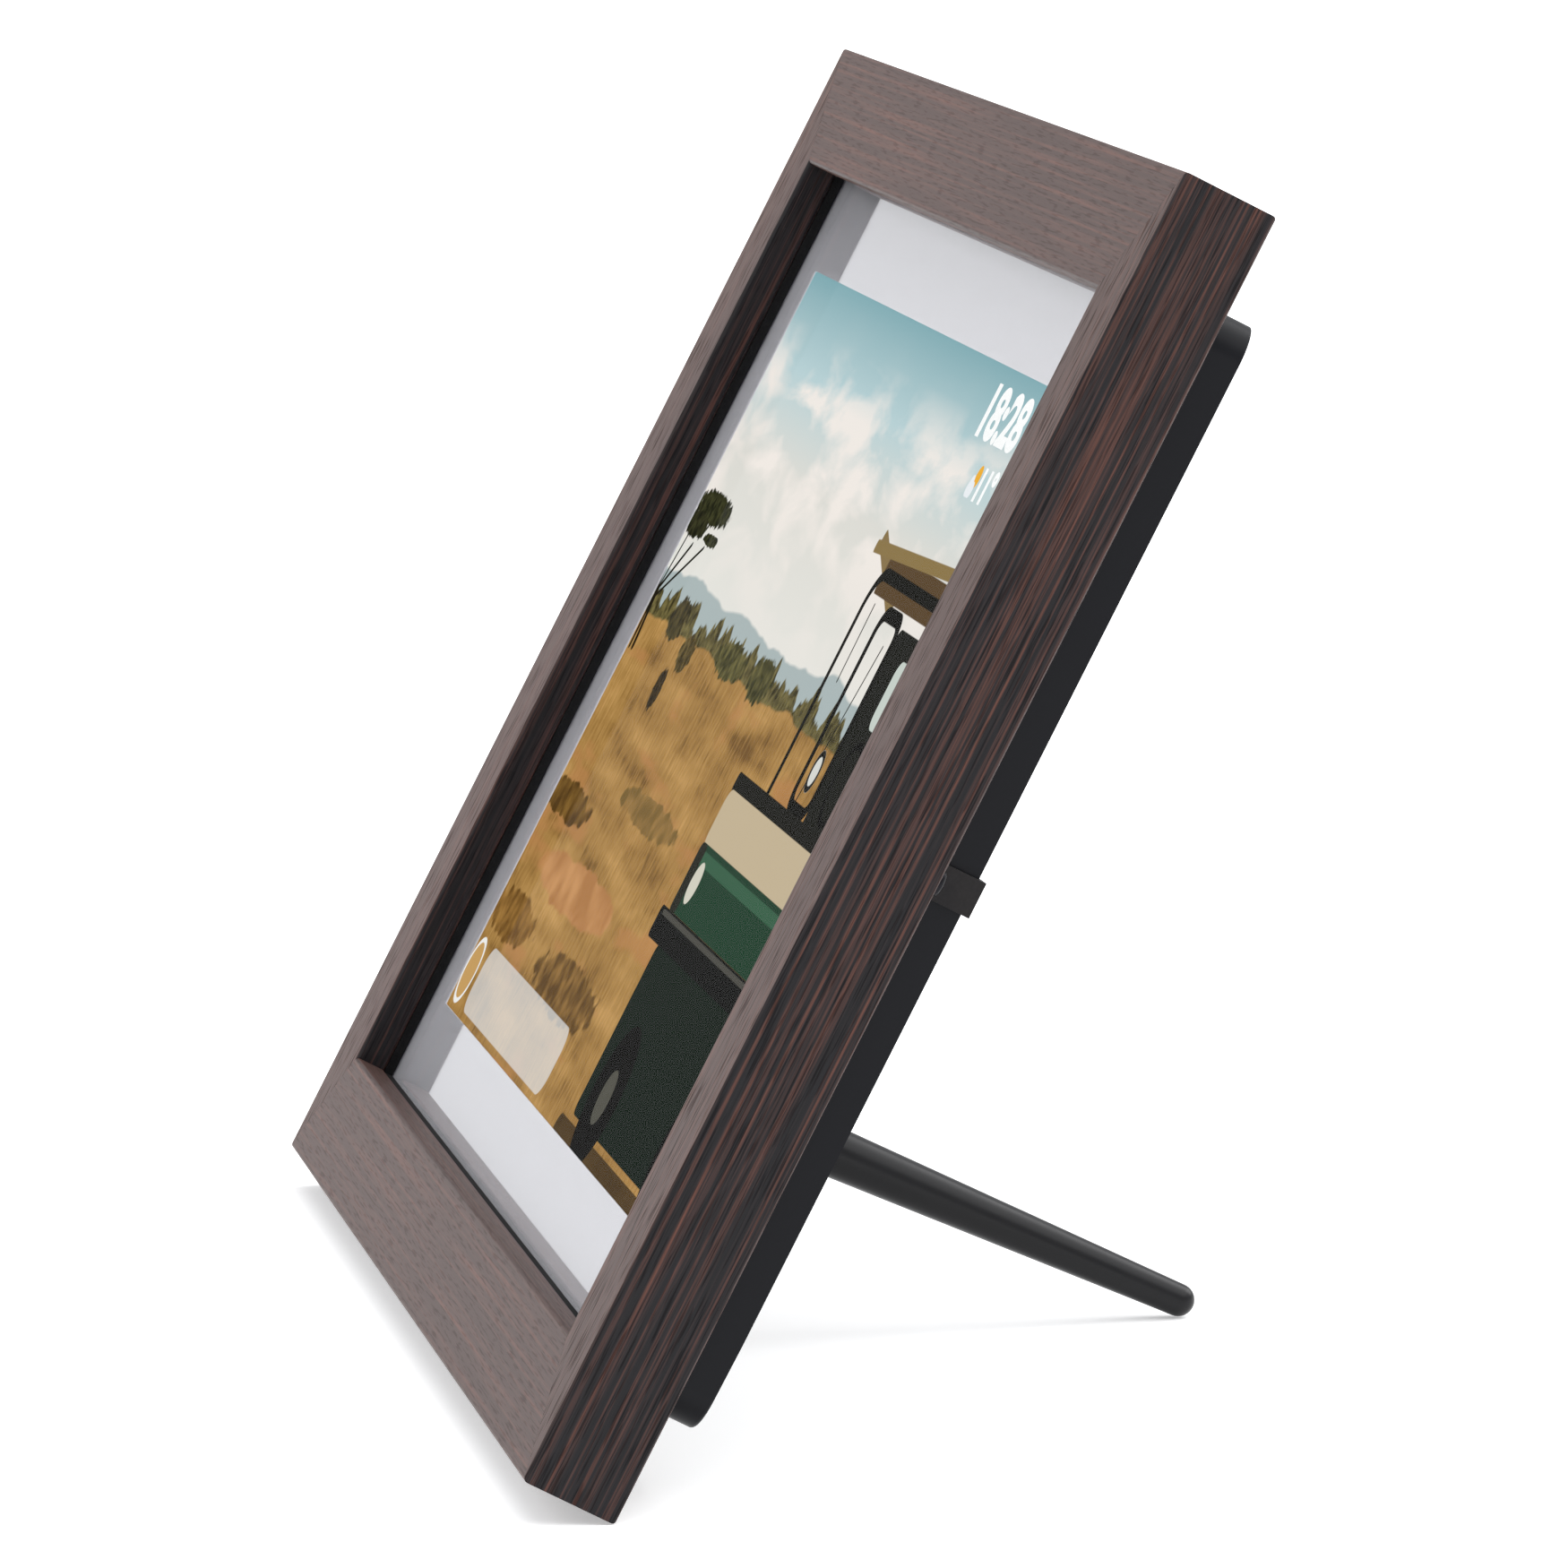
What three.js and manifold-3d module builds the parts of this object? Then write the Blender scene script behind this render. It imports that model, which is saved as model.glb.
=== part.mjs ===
// Digital photo frame: a mitred wooden moulding, a matted landscape screen in a plastic rear housing,
// and a tapered leg that screws into the back.
//
// Every piece is modelled in the frame's own axes: X to the right, Y from the front face backwards and
// Z up along the frame from its bottom edge. One group then leans the whole frame back onto its leg.
// Sizes are in millimetres.

import * as THREE from 'three';
import { mergeVertices } from 'three/addons/utils/BufferGeometryUtils.js';
import Module from 'manifold-3d';

const wasm = await Module();
wasm.setup();

// ---------------------------------------------------------------- driving dimensions

// Wooden moulding
const FRAME_WIDTH = 440;
const FRAME_HEIGHT = 295;
const FRAME_DEPTH = 21;
const MOULDING_WIDTH = 28.5;
const LIP_DEPTH = 7.5;
const REBATE_WIDTH = 8;
const MITRE_GAP = 0.3;

// V-nails that hold each mitre together, driven in from the back
const NAILS_PER_CORNER = 2;
const NAIL_FIRST = 10;
const NAIL_PITCH = 9.5;
const NAIL_SPAN = 8;
const NAIL_RISE = 3;
const NAIL_GAUGE = 0.8;
const NAIL_DEPTH = 7;

// Gap kept between pieces that rest on each other, and play of the sheets inside the rebate
const SEAT_GAP = 0.3;
const SHEET_PLAY = 0.5;

// Sheets behind the lip
const GASKET_THICKNESS = 1.7;
const GASKET_SETBACK = 0.5;
const GLASS_THICKNESS = 2;
const MAT_THICKNESS = 0.4;

// Screen
const SCREEN_WIDTH = 344.2;
const SCREEN_HEIGHT = 193.6;
const CELL_BORDER = 7;
const CELL_THICKNESS = 1.3;
const BACKLIGHT_THICKNESS = 2.5;
const CHASSIS_WALL = 0.6;

// Rear housing
const HOUSING_PLAY = 1;
const HOUSING_PROUD = 11.3;
const HOUSING_WALL = 2;
const HOUSING_CORNER = 8;

// Screws
const COVER_SCREW_RADIUS = 1.5;
const COVER_SCREW_INSET = 15;
const COVER_HEAD_RADIUS = 2.9;
const COVER_HEAD_HEIGHT = 1.2;
const BOARD_SCREW_RADIUS = 1.1;
const BOARD_HEAD_RADIUS = 2.2;
const BOARD_HEAD_HEIGHT = 1.4;
const SCREW_CLEARANCE = 0.3;
const POST_WALL = 1.7;
const SPIGOT_HEIGHT = 5;

// Clips that hold the housing in the rebate
const CLIP_WIDTH = 8;
const CLIP_GAUGE = 1.2;
const CLIP_FOOT = 11;
const CLIP_LIP = 5;
const CLIP_DROP = 3;
const CLIP_SCREW_RADIUS = 1.5;
const CLIP_SCREW_LENGTH = 11;
const CLIP_HEAD_RADIUS = 3;
const CLIP_HEAD_HEIGHT = 1.6;

// Leg
const LEG_HEIGHT = 69.4;
const LEG_TILT = THREE.MathUtils.degToRad(2.8);
const LEG_LENGTH = 129.2;
const LEG_ROOT_RADIUS = 6.6;
const LEG_TIP_RADIUS = 3.8;
const LEG_POCKET_DEPTH = 0.6;
const WASHER_THICKNESS = 1;
const WASHER_RADIUS = 6.2;
const STUD_RADIUS = 3;
const STUD_IN_LEG = 12;
const STUD_OUT = 8;
const INSERT_LENGTH = 8.4;
const INSERT_RADIUS = 4.8;
const SOCKET_WALL = 2.6;

// Keyholes for hanging
const KEYHOLE_SPACING = 150;
const KEYHOLE_DROP = 30;
const KEYHOLE_HEAD_RADIUS = 4.6;
const KEYHOLE_SLOT_WIDTH = 4.6;
const KEYHOLE_SLOT_LENGTH = 9;

// Vents and speaker grilles
const VENT_COUNT = 9;
const VENT_PITCH = 7;
const VENT_WIDTH = 2.4;
const VENT_HEIGHT = 22;
const GRILLE_COUNT = 5;
const GRILLE_PITCH = 3.2;
const GRILLE_WIDTH = 1.4;
const GRILLE_LENGTH = 26;
const SPEAKER_LENGTH = 36;
const SPEAKER_WIDTH = 18;
const SPEAKER_HEIGHT = 4.5;
const SPEAKER_FROM_SCREW = 45;
const SPEAKER_FROM_BOTTOM = 28;

// Circuit board, ports and button on the left side
const BOARD_WIDTH = 90;
const BOARD_HEIGHT = 76;
const BOARD_THICKNESS = 1.6;
const BOARD_SIDE_PLAY = 2.5;
const BOARD_BELOW_SCREW = 12;
const BOARD_SCREW_INSET = 5;
const PORT_ROOM = 6.6;
const PORT_RECESS = 0.5;
const JACK_WIDTH = 9;
const JACK_HEIGHT = 5.6;
const JACK_LENGTH = 12;
const JACK_BORE_RADIUS = 1.9;
const USB_WIDTH = 13.1;
const USB_HEIGHT = 5.4;
const USB_LENGTH = 14;
const USB_WALL = 0.4;
const USB_TONGUE_WIDTH = 10.3;
const USB_TONGUE_THICKNESS = 1.6;
const USB_TONGUE_GAP = 0.8;
const CARD_WIDTH = 13;
const CARD_HEIGHT = 2.2;
const CARD_LENGTH = 14;
const CARD_SLOT_WIDTH = 11.4;
const CARD_SLOT_HEIGHT = 0.9;
const SWITCH_WIDTH = 6;
const SWITCH_HEIGHT = 5;
const SWITCH_LENGTH = 4;
const BUTTON_RADIUS = 2.4;
const BUTTON_PROUD = 1;
const BUTTON_FLANGE_RADIUS = 3;
const BUTTON_FLANGE_THICKNESS = 0.8;
const BUTTON_TRAVEL = 0.6;
const BUTTON_PLAY = 0.35;

// Roundness
const ROD_SIDES = 24;
const SCREW_SIDES = 12;
const CORNER_STEPS = 6;
const SLOT_STEPS = 2;

// ---------------------------------------------------------------- derived planes and positions

const halfWidth = FRAME_WIDTH / 2;
const midHeight = FRAME_HEIGHT / 2;

// Rebate opening, and the depth of each sheet's front face
const rebateInset = MOULDING_WIDTH - REBATE_WIDTH;
const rebateWidth = FRAME_WIDTH - 2 * rebateInset;
const rebateHeight = FRAME_HEIGHT - 2 * rebateInset;
const gasketFront = LIP_DEPTH + SEAT_GAP;
const glassFront = gasketFront + GASKET_THICKNESS + SEAT_GAP;
const matFront = glassFront + GLASS_THICKNESS + SEAT_GAP;
const housingFront = matFront + MAT_THICKNESS + SEAT_GAP;

// Screen stack inside the chassis tray
const cellWidth = SCREEN_WIDTH + 2 * CELL_BORDER;
const cellHeight = SCREEN_HEIGHT + 2 * CELL_BORDER;
const cellFront = housingFront + SEAT_GAP;
const backlightFront = cellFront + CELL_THICKNESS + SEAT_GAP;
const chassisFloor = backlightFront + BACKLIGHT_THICKNESS + SEAT_GAP;
const chassisBack = chassisFloor + CHASSIS_WALL;
const chassisWidth = cellWidth + 2 * (SEAT_GAP + CHASSIS_WALL);
const chassisHeight = cellHeight + 2 * (SEAT_GAP + CHASSIS_WALL);

// Housing
const housingWidth = rebateWidth - 2 * HOUSING_PLAY;
const housingHeight = rebateHeight - 2 * HOUSING_PLAY;
const housingBack = FRAME_DEPTH + HOUSING_PROUD;
const housingInside = housingBack - HOUSING_WALL;
const innerWidth = housingWidth - 2 * HOUSING_WALL;
const innerHeight = housingHeight - 2 * HOUSING_WALL;

// Circuit board: its back face leaves room for the ports under the housing's floor
const boardBack = housingInside - PORT_ROOM;
const boardFront = boardBack - BOARD_THICKNESS;
const boardLeft = -innerWidth / 2 + BOARD_SIDE_PLAY;
const boardX = boardLeft + BOARD_WIDTH / 2;
const partsBack = boardBack + SEAT_GAP;
const portMouth = -housingWidth / 2 + PORT_RECESS;

// Cover screws: one near each corner of the chassis, with the board just below the top left one
const coverScrewX = chassisWidth / 2 - COVER_SCREW_INSET;
const coverScrewZ = chassisHeight / 2 - COVER_SCREW_INSET / 1.5;
const chassisPostEnd = chassisBack + SPIGOT_HEIGHT;
const speakerX = coverScrewX - SPEAKER_FROM_SCREW;
const boardTop = midHeight + coverScrewZ - BOARD_BELOW_SCREW;
const boardZ = boardTop - BOARD_HEIGHT / 2;
const headSeat = housingBack - HOUSING_WALL / 2;

// Leg: the seat is the floor of a shallow round pocket, and the tip is a ball
const legSeat = housingBack - LEG_POCKET_DEPTH;
const washerFront = SEAT_GAP;
const legRoot = washerFront + WASHER_THICKNESS + SEAT_GAP;
const tipCentre = legRoot + LEG_LENGTH - LEG_TIP_RADIUS;

// The frame stands on its rear bottom edge and on the leg's tip, which sets how far it leans
const tipReach = legSeat + tipCentre * Math.cos(LEG_TILT) - FRAME_DEPTH;
const tipRise = LEG_HEIGHT + tipCentre * Math.sin(LEG_TILT);
const lean = Math.atan2(tipRise, tipReach) - Math.asin(LEG_TIP_RADIUS / Math.hypot(tipReach, tipRise));

// ---------------------------------------------------------------- geometry helpers

/** Turns a closed three.js geometry into a manifold solid. */
function toSolid(geometry) {
  const bare = geometry.clone();
  bare.deleteAttribute('normal');
  bare.deleteAttribute('uv');
  const merged = mergeVertices(bare, 1e-5);
  return new wasm.Manifold(new wasm.Mesh({
    numProp: 3,
    vertProperties: new Float32Array(merged.attributes.position.array),
    triVerts: new Uint32Array(merged.index.array),
  }));
}

/** Turns a manifold solid back into a three.js geometry. */
function toGeometry(solid) {
  const mesh = solid.getMesh();
  const geometry = new THREE.BufferGeometry();
  geometry.setAttribute('position', new THREE.BufferAttribute(mesh.vertProperties, 3));
  geometry.setIndex(new THREE.BufferAttribute(mesh.triVerts, 1));
  geometry.computeVertexNormals();
  return geometry;
}

/** Adds the `extras` to the base geometry, then takes the `holes` out of it. */
function shape(base, extras, holes) {
  let solid = toSolid(base);
  for (const extra of extras) solid = solid.add(toSolid(extra));
  for (const hole of holes) solid = solid.subtract(toSolid(hole));
  return toGeometry(solid);
}

/** A rectangle with optional round corners, centred on (x, z). */
function rectangle(width, height, radius, x, z) {
  const outline = new THREE.Shape();
  const right = x + width / 2;
  const top = z + height / 2;
  const left = x - width / 2;
  const bottom = z - height / 2;
  if (radius <= 0) {
    outline.moveTo(left, bottom).lineTo(right, bottom).lineTo(right, top).lineTo(left, top);
    return outline;
  }
  outline.absarc(right - radius, top - radius, radius, 0, Math.PI / 2);
  outline.absarc(left + radius, top - radius, radius, Math.PI / 2, Math.PI);
  outline.absarc(left + radius, bottom + radius, radius, Math.PI, 1.5 * Math.PI);
  outline.absarc(right - radius, bottom + radius, radius, 1.5 * Math.PI, 2 * Math.PI);
  outline.closePath();
  return outline;
}

/** A sheet parallel to the front face, from depth `front` backwards. */
function sheet(outline, front, thickness, cornerSteps = CORNER_STEPS) {
  const geometry = new THREE.ExtrudeGeometry(outline, {
    depth: thickness,
    bevelEnabled: false,
    curveSegments: cornerSteps,
  });
  return geometry.rotateX(Math.PI / 2).translate(0, front + thickness, 0);
}

/** A block between two opposite corners. */
function block(x0, x1, y0, y1, z0, z1) {
  const geometry = new THREE.BoxGeometry(x1 - x0, y1 - y0, z1 - z0);
  return geometry.translate((x0 + x1) / 2, (y0 + y1) / 2, (z0 + z1) / 2);
}

/** A round bar along Y between two depths. */
function rod(radius, y0, y1, x, z, sides) {
  return new THREE.CylinderGeometry(radius, radius, y1 - y0, sides).translate(x, (y0 + y1) / 2, z);
}

/** A round bar along X between two places. */
function crossRod(radius, x0, x1, y, z, sides) {
  const geometry = new THREE.CylinderGeometry(radius, radius, x1 - x0, sides).rotateZ(Math.PI / 2);
  return geometry.translate((x0 + x1) / 2, y, z);
}

/** A turned piece about Y; the profile is [radius, y] pairs that start and end on the axis. */
function turned(profile, sides) {
  return new THREE.LatheGeometry(profile.map(([radius, y]) => new THREE.Vector2(radius, y)), sides);
}

/** A pan-head screw: its head's underside is at y = 0 and its shank points to the front. */
function panScrew(radius, length, headRadius, headHeight) {
  return turned([
    [0, -length],
    [radius * 0.5, -length],
    [radius, -length + radius],
    [radius, 0],
    [headRadius, 0],
    [headRadius, headHeight * 0.5],
    [headRadius * 0.7, headHeight],
    [0, headHeight],
  ], SCREW_SIDES);
}

function finish(color, roughness, metalness) {
  return new THREE.MeshStandardMaterial({ color, roughness, metalness });
}

function addPiece(parent, name, geometry, material) {
  const mesh = new THREE.Mesh(geometry, material);
  mesh.name = name;
  parent.add(mesh);
  return mesh;
}

// ---------------------------------------------------------------- wooden moulding

/** The four corners, as signs of X and Z from the middle of the frame. */
const CORNERS = [
  { name: 'top_left', x: -1, z: 1 },
  { name: 'top_right', x: 1, z: 1 },
  { name: 'bottom_left', x: -1, z: -1 },
  { name: 'bottom_right', x: 1, z: -1 },
];

/** A V-nail's outline about the mitre line, which runs along +Y of the outline. */
function nailOutline(clearance) {
  const half = NAIL_SPAN / 2 + clearance;
  const gauge = NAIL_GAUGE + 2 * clearance;
  const outline = new THREE.Shape();
  outline.moveTo(0, -clearance);
  outline.lineTo(half, NAIL_RISE - clearance);
  outline.lineTo(half, NAIL_RISE - clearance + gauge);
  outline.lineTo(0, gauge - clearance);
  outline.lineTo(-half, NAIL_RISE - clearance + gauge);
  outline.lineTo(-half, NAIL_RISE - clearance);
  return outline;
}

/** A V-nail, or with a clearance the slot it sits in, at its place along a corner's mitre. */
function nailSolid(corner, index, clearance) {
  const along = (NAIL_FIRST + index * NAIL_PITCH) / Math.SQRT2;
  const front = FRAME_DEPTH - NAIL_DEPTH - clearance;
  const geometry = new THREE.ExtrudeGeometry(nailOutline(clearance), {
    depth: NAIL_DEPTH + 2 * clearance,
    bevelEnabled: false,
  });
  geometry.rotateX(Math.PI / 2).translate(0, front + NAIL_DEPTH + 2 * clearance, 0);
  geometry.rotateY(Math.atan2(-corner.x, -corner.z));
  const x = corner.x * (halfWidth - along);
  const z = midHeight + corner.z * (midHeight - along);
  return geometry.translate(x, 0, z);
}

/** Where each clip's screw goes in, and which way the clip faces outwards. */
const clipReach = SEAT_GAP + CLIP_GAUGE;
const clipScrewOut = clipReach + CLIP_FOOT * 0.55;
const CLIPS = [
  { name: 'left', x: -housingWidth / 2, z: midHeight - CLIP_DROP, turn: Math.PI },
  { name: 'right', x: housingWidth / 2, z: midHeight - CLIP_DROP, turn: 0 },
  { name: 'top', x: 0, z: midHeight + housingHeight / 2, turn: -Math.PI / 2 },
  { name: 'bottom', x: 0, z: midHeight - housingHeight / 2, turn: Math.PI / 2 },
];

/** A mitred length of moulding: `outer` is its long edge, and the profile runs inwards along +Z. */
function mouldingLength(outer) {
  const cut = MITRE_GAP / Math.SQRT2;
  const outline = new THREE.Shape();
  outline.moveTo(-outer / 2 + cut, 0);
  outline.lineTo(outer / 2 - cut, 0);
  outline.lineTo(outer / 2 - MOULDING_WIDTH - cut, MOULDING_WIDTH);
  outline.lineTo(-outer / 2 + MOULDING_WIDTH + cut, MOULDING_WIDTH);
  return sheet(outline, 0, FRAME_DEPTH);
}

/** Each side of the moulding, turned about the frame's middle to its own edge. */
const SIDES = [
  { name: 'bottom_rail', outer: FRAME_WIDTH, turn: 0, drop: midHeight },
  { name: 'right_stile', outer: FRAME_HEIGHT, turn: -Math.PI / 2, drop: halfWidth },
  { name: 'top_rail', outer: FRAME_WIDTH, turn: Math.PI, drop: midHeight },
  { name: 'left_stile', outer: FRAME_HEIGHT, turn: Math.PI / 2, drop: halfWidth },
];

function addMoulding(parent) {
  const rebate = sheet(
    rectangle(rebateWidth, rebateHeight, 0, 0, midHeight),
    LIP_DEPTH,
    FRAME_DEPTH,
  );
  const nailSlots = CORNERS.flatMap((corner) => {
    const places = [...Array(NAILS_PER_CORNER).keys()];
    return places.map((index) => nailSolid(corner, index, SEAT_GAP));
  });
  const pilotHoles = CLIPS.map((clip) => {
    const x = clip.x + clipScrewOut * Math.cos(clip.turn);
    const z = clip.z - clipScrewOut * Math.sin(clip.turn);
    const depth = FRAME_DEPTH + CLIP_GAUGE - CLIP_SCREW_LENGTH;
    return rod(CLIP_SCREW_RADIUS + SCREW_CLEARANCE, depth, FRAME_DEPTH + 1, x, z, SCREW_SIDES);
  });
  for (const side of SIDES) {
    const length = mouldingLength(side.outer).translate(0, 0, -side.drop);
    length.rotateY(side.turn).translate(0, 0, midHeight);
    const wood = finish(0x5a4a44, 0.55, 0);
    addPiece(parent, side.name, shape(length, [], [rebate, ...nailSlots, ...pilotHoles]), wood);
  }
  for (const corner of CORNERS) {
    for (let index = 0; index < NAILS_PER_CORNER; index += 1) {
      const name = `v_nail_${corner.name}_${index + 1}`;
      addPiece(parent, name, nailSolid(corner, index, 0), finish(0x8d8f92, 0.4, 1));
    }
  }
}

// ---------------------------------------------------------------- sheets behind the lip

function addSheets(parent) {
  const sheetWidth = rebateWidth - 2 * SHEET_PLAY;
  const sheetHeight = rebateHeight - 2 * SHEET_PLAY;
  const outline = () => rectangle(sheetWidth, sheetHeight, 0, 0, midHeight);

  const sightWidth = FRAME_WIDTH - 2 * (MOULDING_WIDTH - GASKET_SETBACK);
  const sightHeight = FRAME_HEIGHT - 2 * (MOULDING_WIDTH - GASKET_SETBACK);
  const ring = outline();
  ring.holes.push(rectangle(sightWidth, sightHeight, 0, 0, midHeight));
  const gasket = sheet(ring, gasketFront, GASKET_THICKNESS);
  addPiece(parent, 'glass_gasket', gasket, finish(0x0c0c0d, 0.95, 0));

  const glass = finish(0xe6f0f2, 0.02, 0);
  glass.transparent = true;
  glass.opacity = 0.25;
  addPiece(parent, 'cover_glass', sheet(outline(), glassFront, GLASS_THICKNESS), glass);

  const mat = outline();
  mat.holes.push(rectangle(SCREEN_WIDTH, SCREEN_HEIGHT, 0, 0, midHeight));
  addPiece(parent, 'mat_board', sheet(mat, matFront, MAT_THICKNESS), finish(0xe6e6e8, 0.9, 0));
}

// ---------------------------------------------------------------- screen

const coverScrews = CORNERS.map((corner) => ({
  x: corner.x * coverScrewX,
  z: midHeight + corner.z * coverScrewZ,
}));
const boardScrews = CORNERS.map((corner) => ({
  x: boardX + corner.x * (BOARD_WIDTH / 2 - BOARD_SCREW_INSET),
  z: boardZ + corner.z * (BOARD_HEIGHT / 2 - BOARD_SCREW_INSET),
}));

/** A ribbon that follows [depth, height] points, `width` wide about x. */
function ribbon(points, thickness, width, x) {
  const path = points.map(([y, z]) => new THREE.Vector2(y, z));
  const offsets = path.map((point, index) => {
    const before = path[Math.max(index - 1, 0)];
    const after = path[Math.min(index + 1, path.length - 1)];
    const along = after.clone().sub(before).normalize();
    return new THREE.Vector2(-along.y, along.x).multiplyScalar(thickness / 2);
  });
  const front = path.map((point, index) => point.clone().add(offsets[index]));
  const back = path.map((point, index) => point.clone().sub(offsets[index])).reverse();
  const outline = new THREE.Shape([...front, ...back]);
  const geometry = new THREE.ExtrudeGeometry(outline, { depth: width, bevelEnabled: false });
  const toDepthAndHeight = new THREE.Matrix4().set(
    0, 0, 1, x - width / 2,
    1, 0, 0, 0,
    0, 1, 0, 0,
    0, 0, 0, 1,
  );
  return geometry.applyMatrix4(toDepthAndHeight);
}

function addScreen(parent) {
  const cellOutline = rectangle(cellWidth, cellHeight, 0, 0, midHeight);
  const cell = sheet(cellOutline, cellFront, CELL_THICKNESS);
  addPiece(parent, 'lcd_cell', cell, finish(0x2a4a5a, 0.3, 0));

  const backlight = sheet(cellOutline, backlightFront, BACKLIGHT_THICKNESS);
  addPiece(parent, 'backlight_guide', backlight, finish(0xf2f2ee, 0.6, 0));

  const tray = sheet(
    rectangle(chassisWidth, chassisHeight, 0, 0, midHeight),
    cellFront,
    chassisBack - cellFront,
  );
  const hollow = sheet(
    rectangle(chassisWidth - 2 * CHASSIS_WALL, chassisHeight - 2 * CHASSIS_WALL, 0, 0, midHeight),
    cellFront - 1,
    chassisFloor - cellFront + 1,
  );
  const into = CHASSIS_WALL / 2;
  const coverBore = COVER_SCREW_RADIUS + SCREW_CLEARANCE;
  const posts = coverScrews.map(({ x, z }) =>
    rod(coverBore + POST_WALL, chassisBack - into, chassisPostEnd, x, z, ROD_SIDES));
  const bores = coverScrews.map(({ x, z }) =>
    rod(coverBore, chassisBack, chassisPostEnd + 1, x, z, SCREW_SIDES));
  const chassis = shape(tray, posts, [hollow, ...bores]);
  addPiece(parent, 'screen_chassis', chassis, finish(0x9a9da0, 0.45, 1));

  const flexLow = boardZ - BOARD_HEIGHT / 2;
  const flexWidth = 24;
  const flexThickness = 0.3;
  const onChassis = chassisBack + SEAT_GAP + flexThickness / 2;
  const onBoard = partsBack + flexThickness / 2;
  const flex = ribbon([
    [onChassis, flexLow - 60],
    [onChassis, flexLow - 14],
    [(onChassis + onBoard) / 2, flexLow - 5],
    [onBoard, flexLow - 2],
    [onBoard, flexLow + 9],
  ], flexThickness, flexWidth, boardX + BOARD_WIDTH / 4);
  addPiece(parent, 'display_flex', flex, finish(0xb5762a, 0.5, 0));
}

// ---------------------------------------------------------------- circuit board, ports and speakers

const portDepth = (height) => partsBack + height / 2;
const portZ = {
  button: boardZ + 26,
  usb: boardZ + 9,
  card: boardZ - 10,
  jack: boardZ - 24,
};
const buttonDepth = (boardBack + housingInside) / 2;

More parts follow.
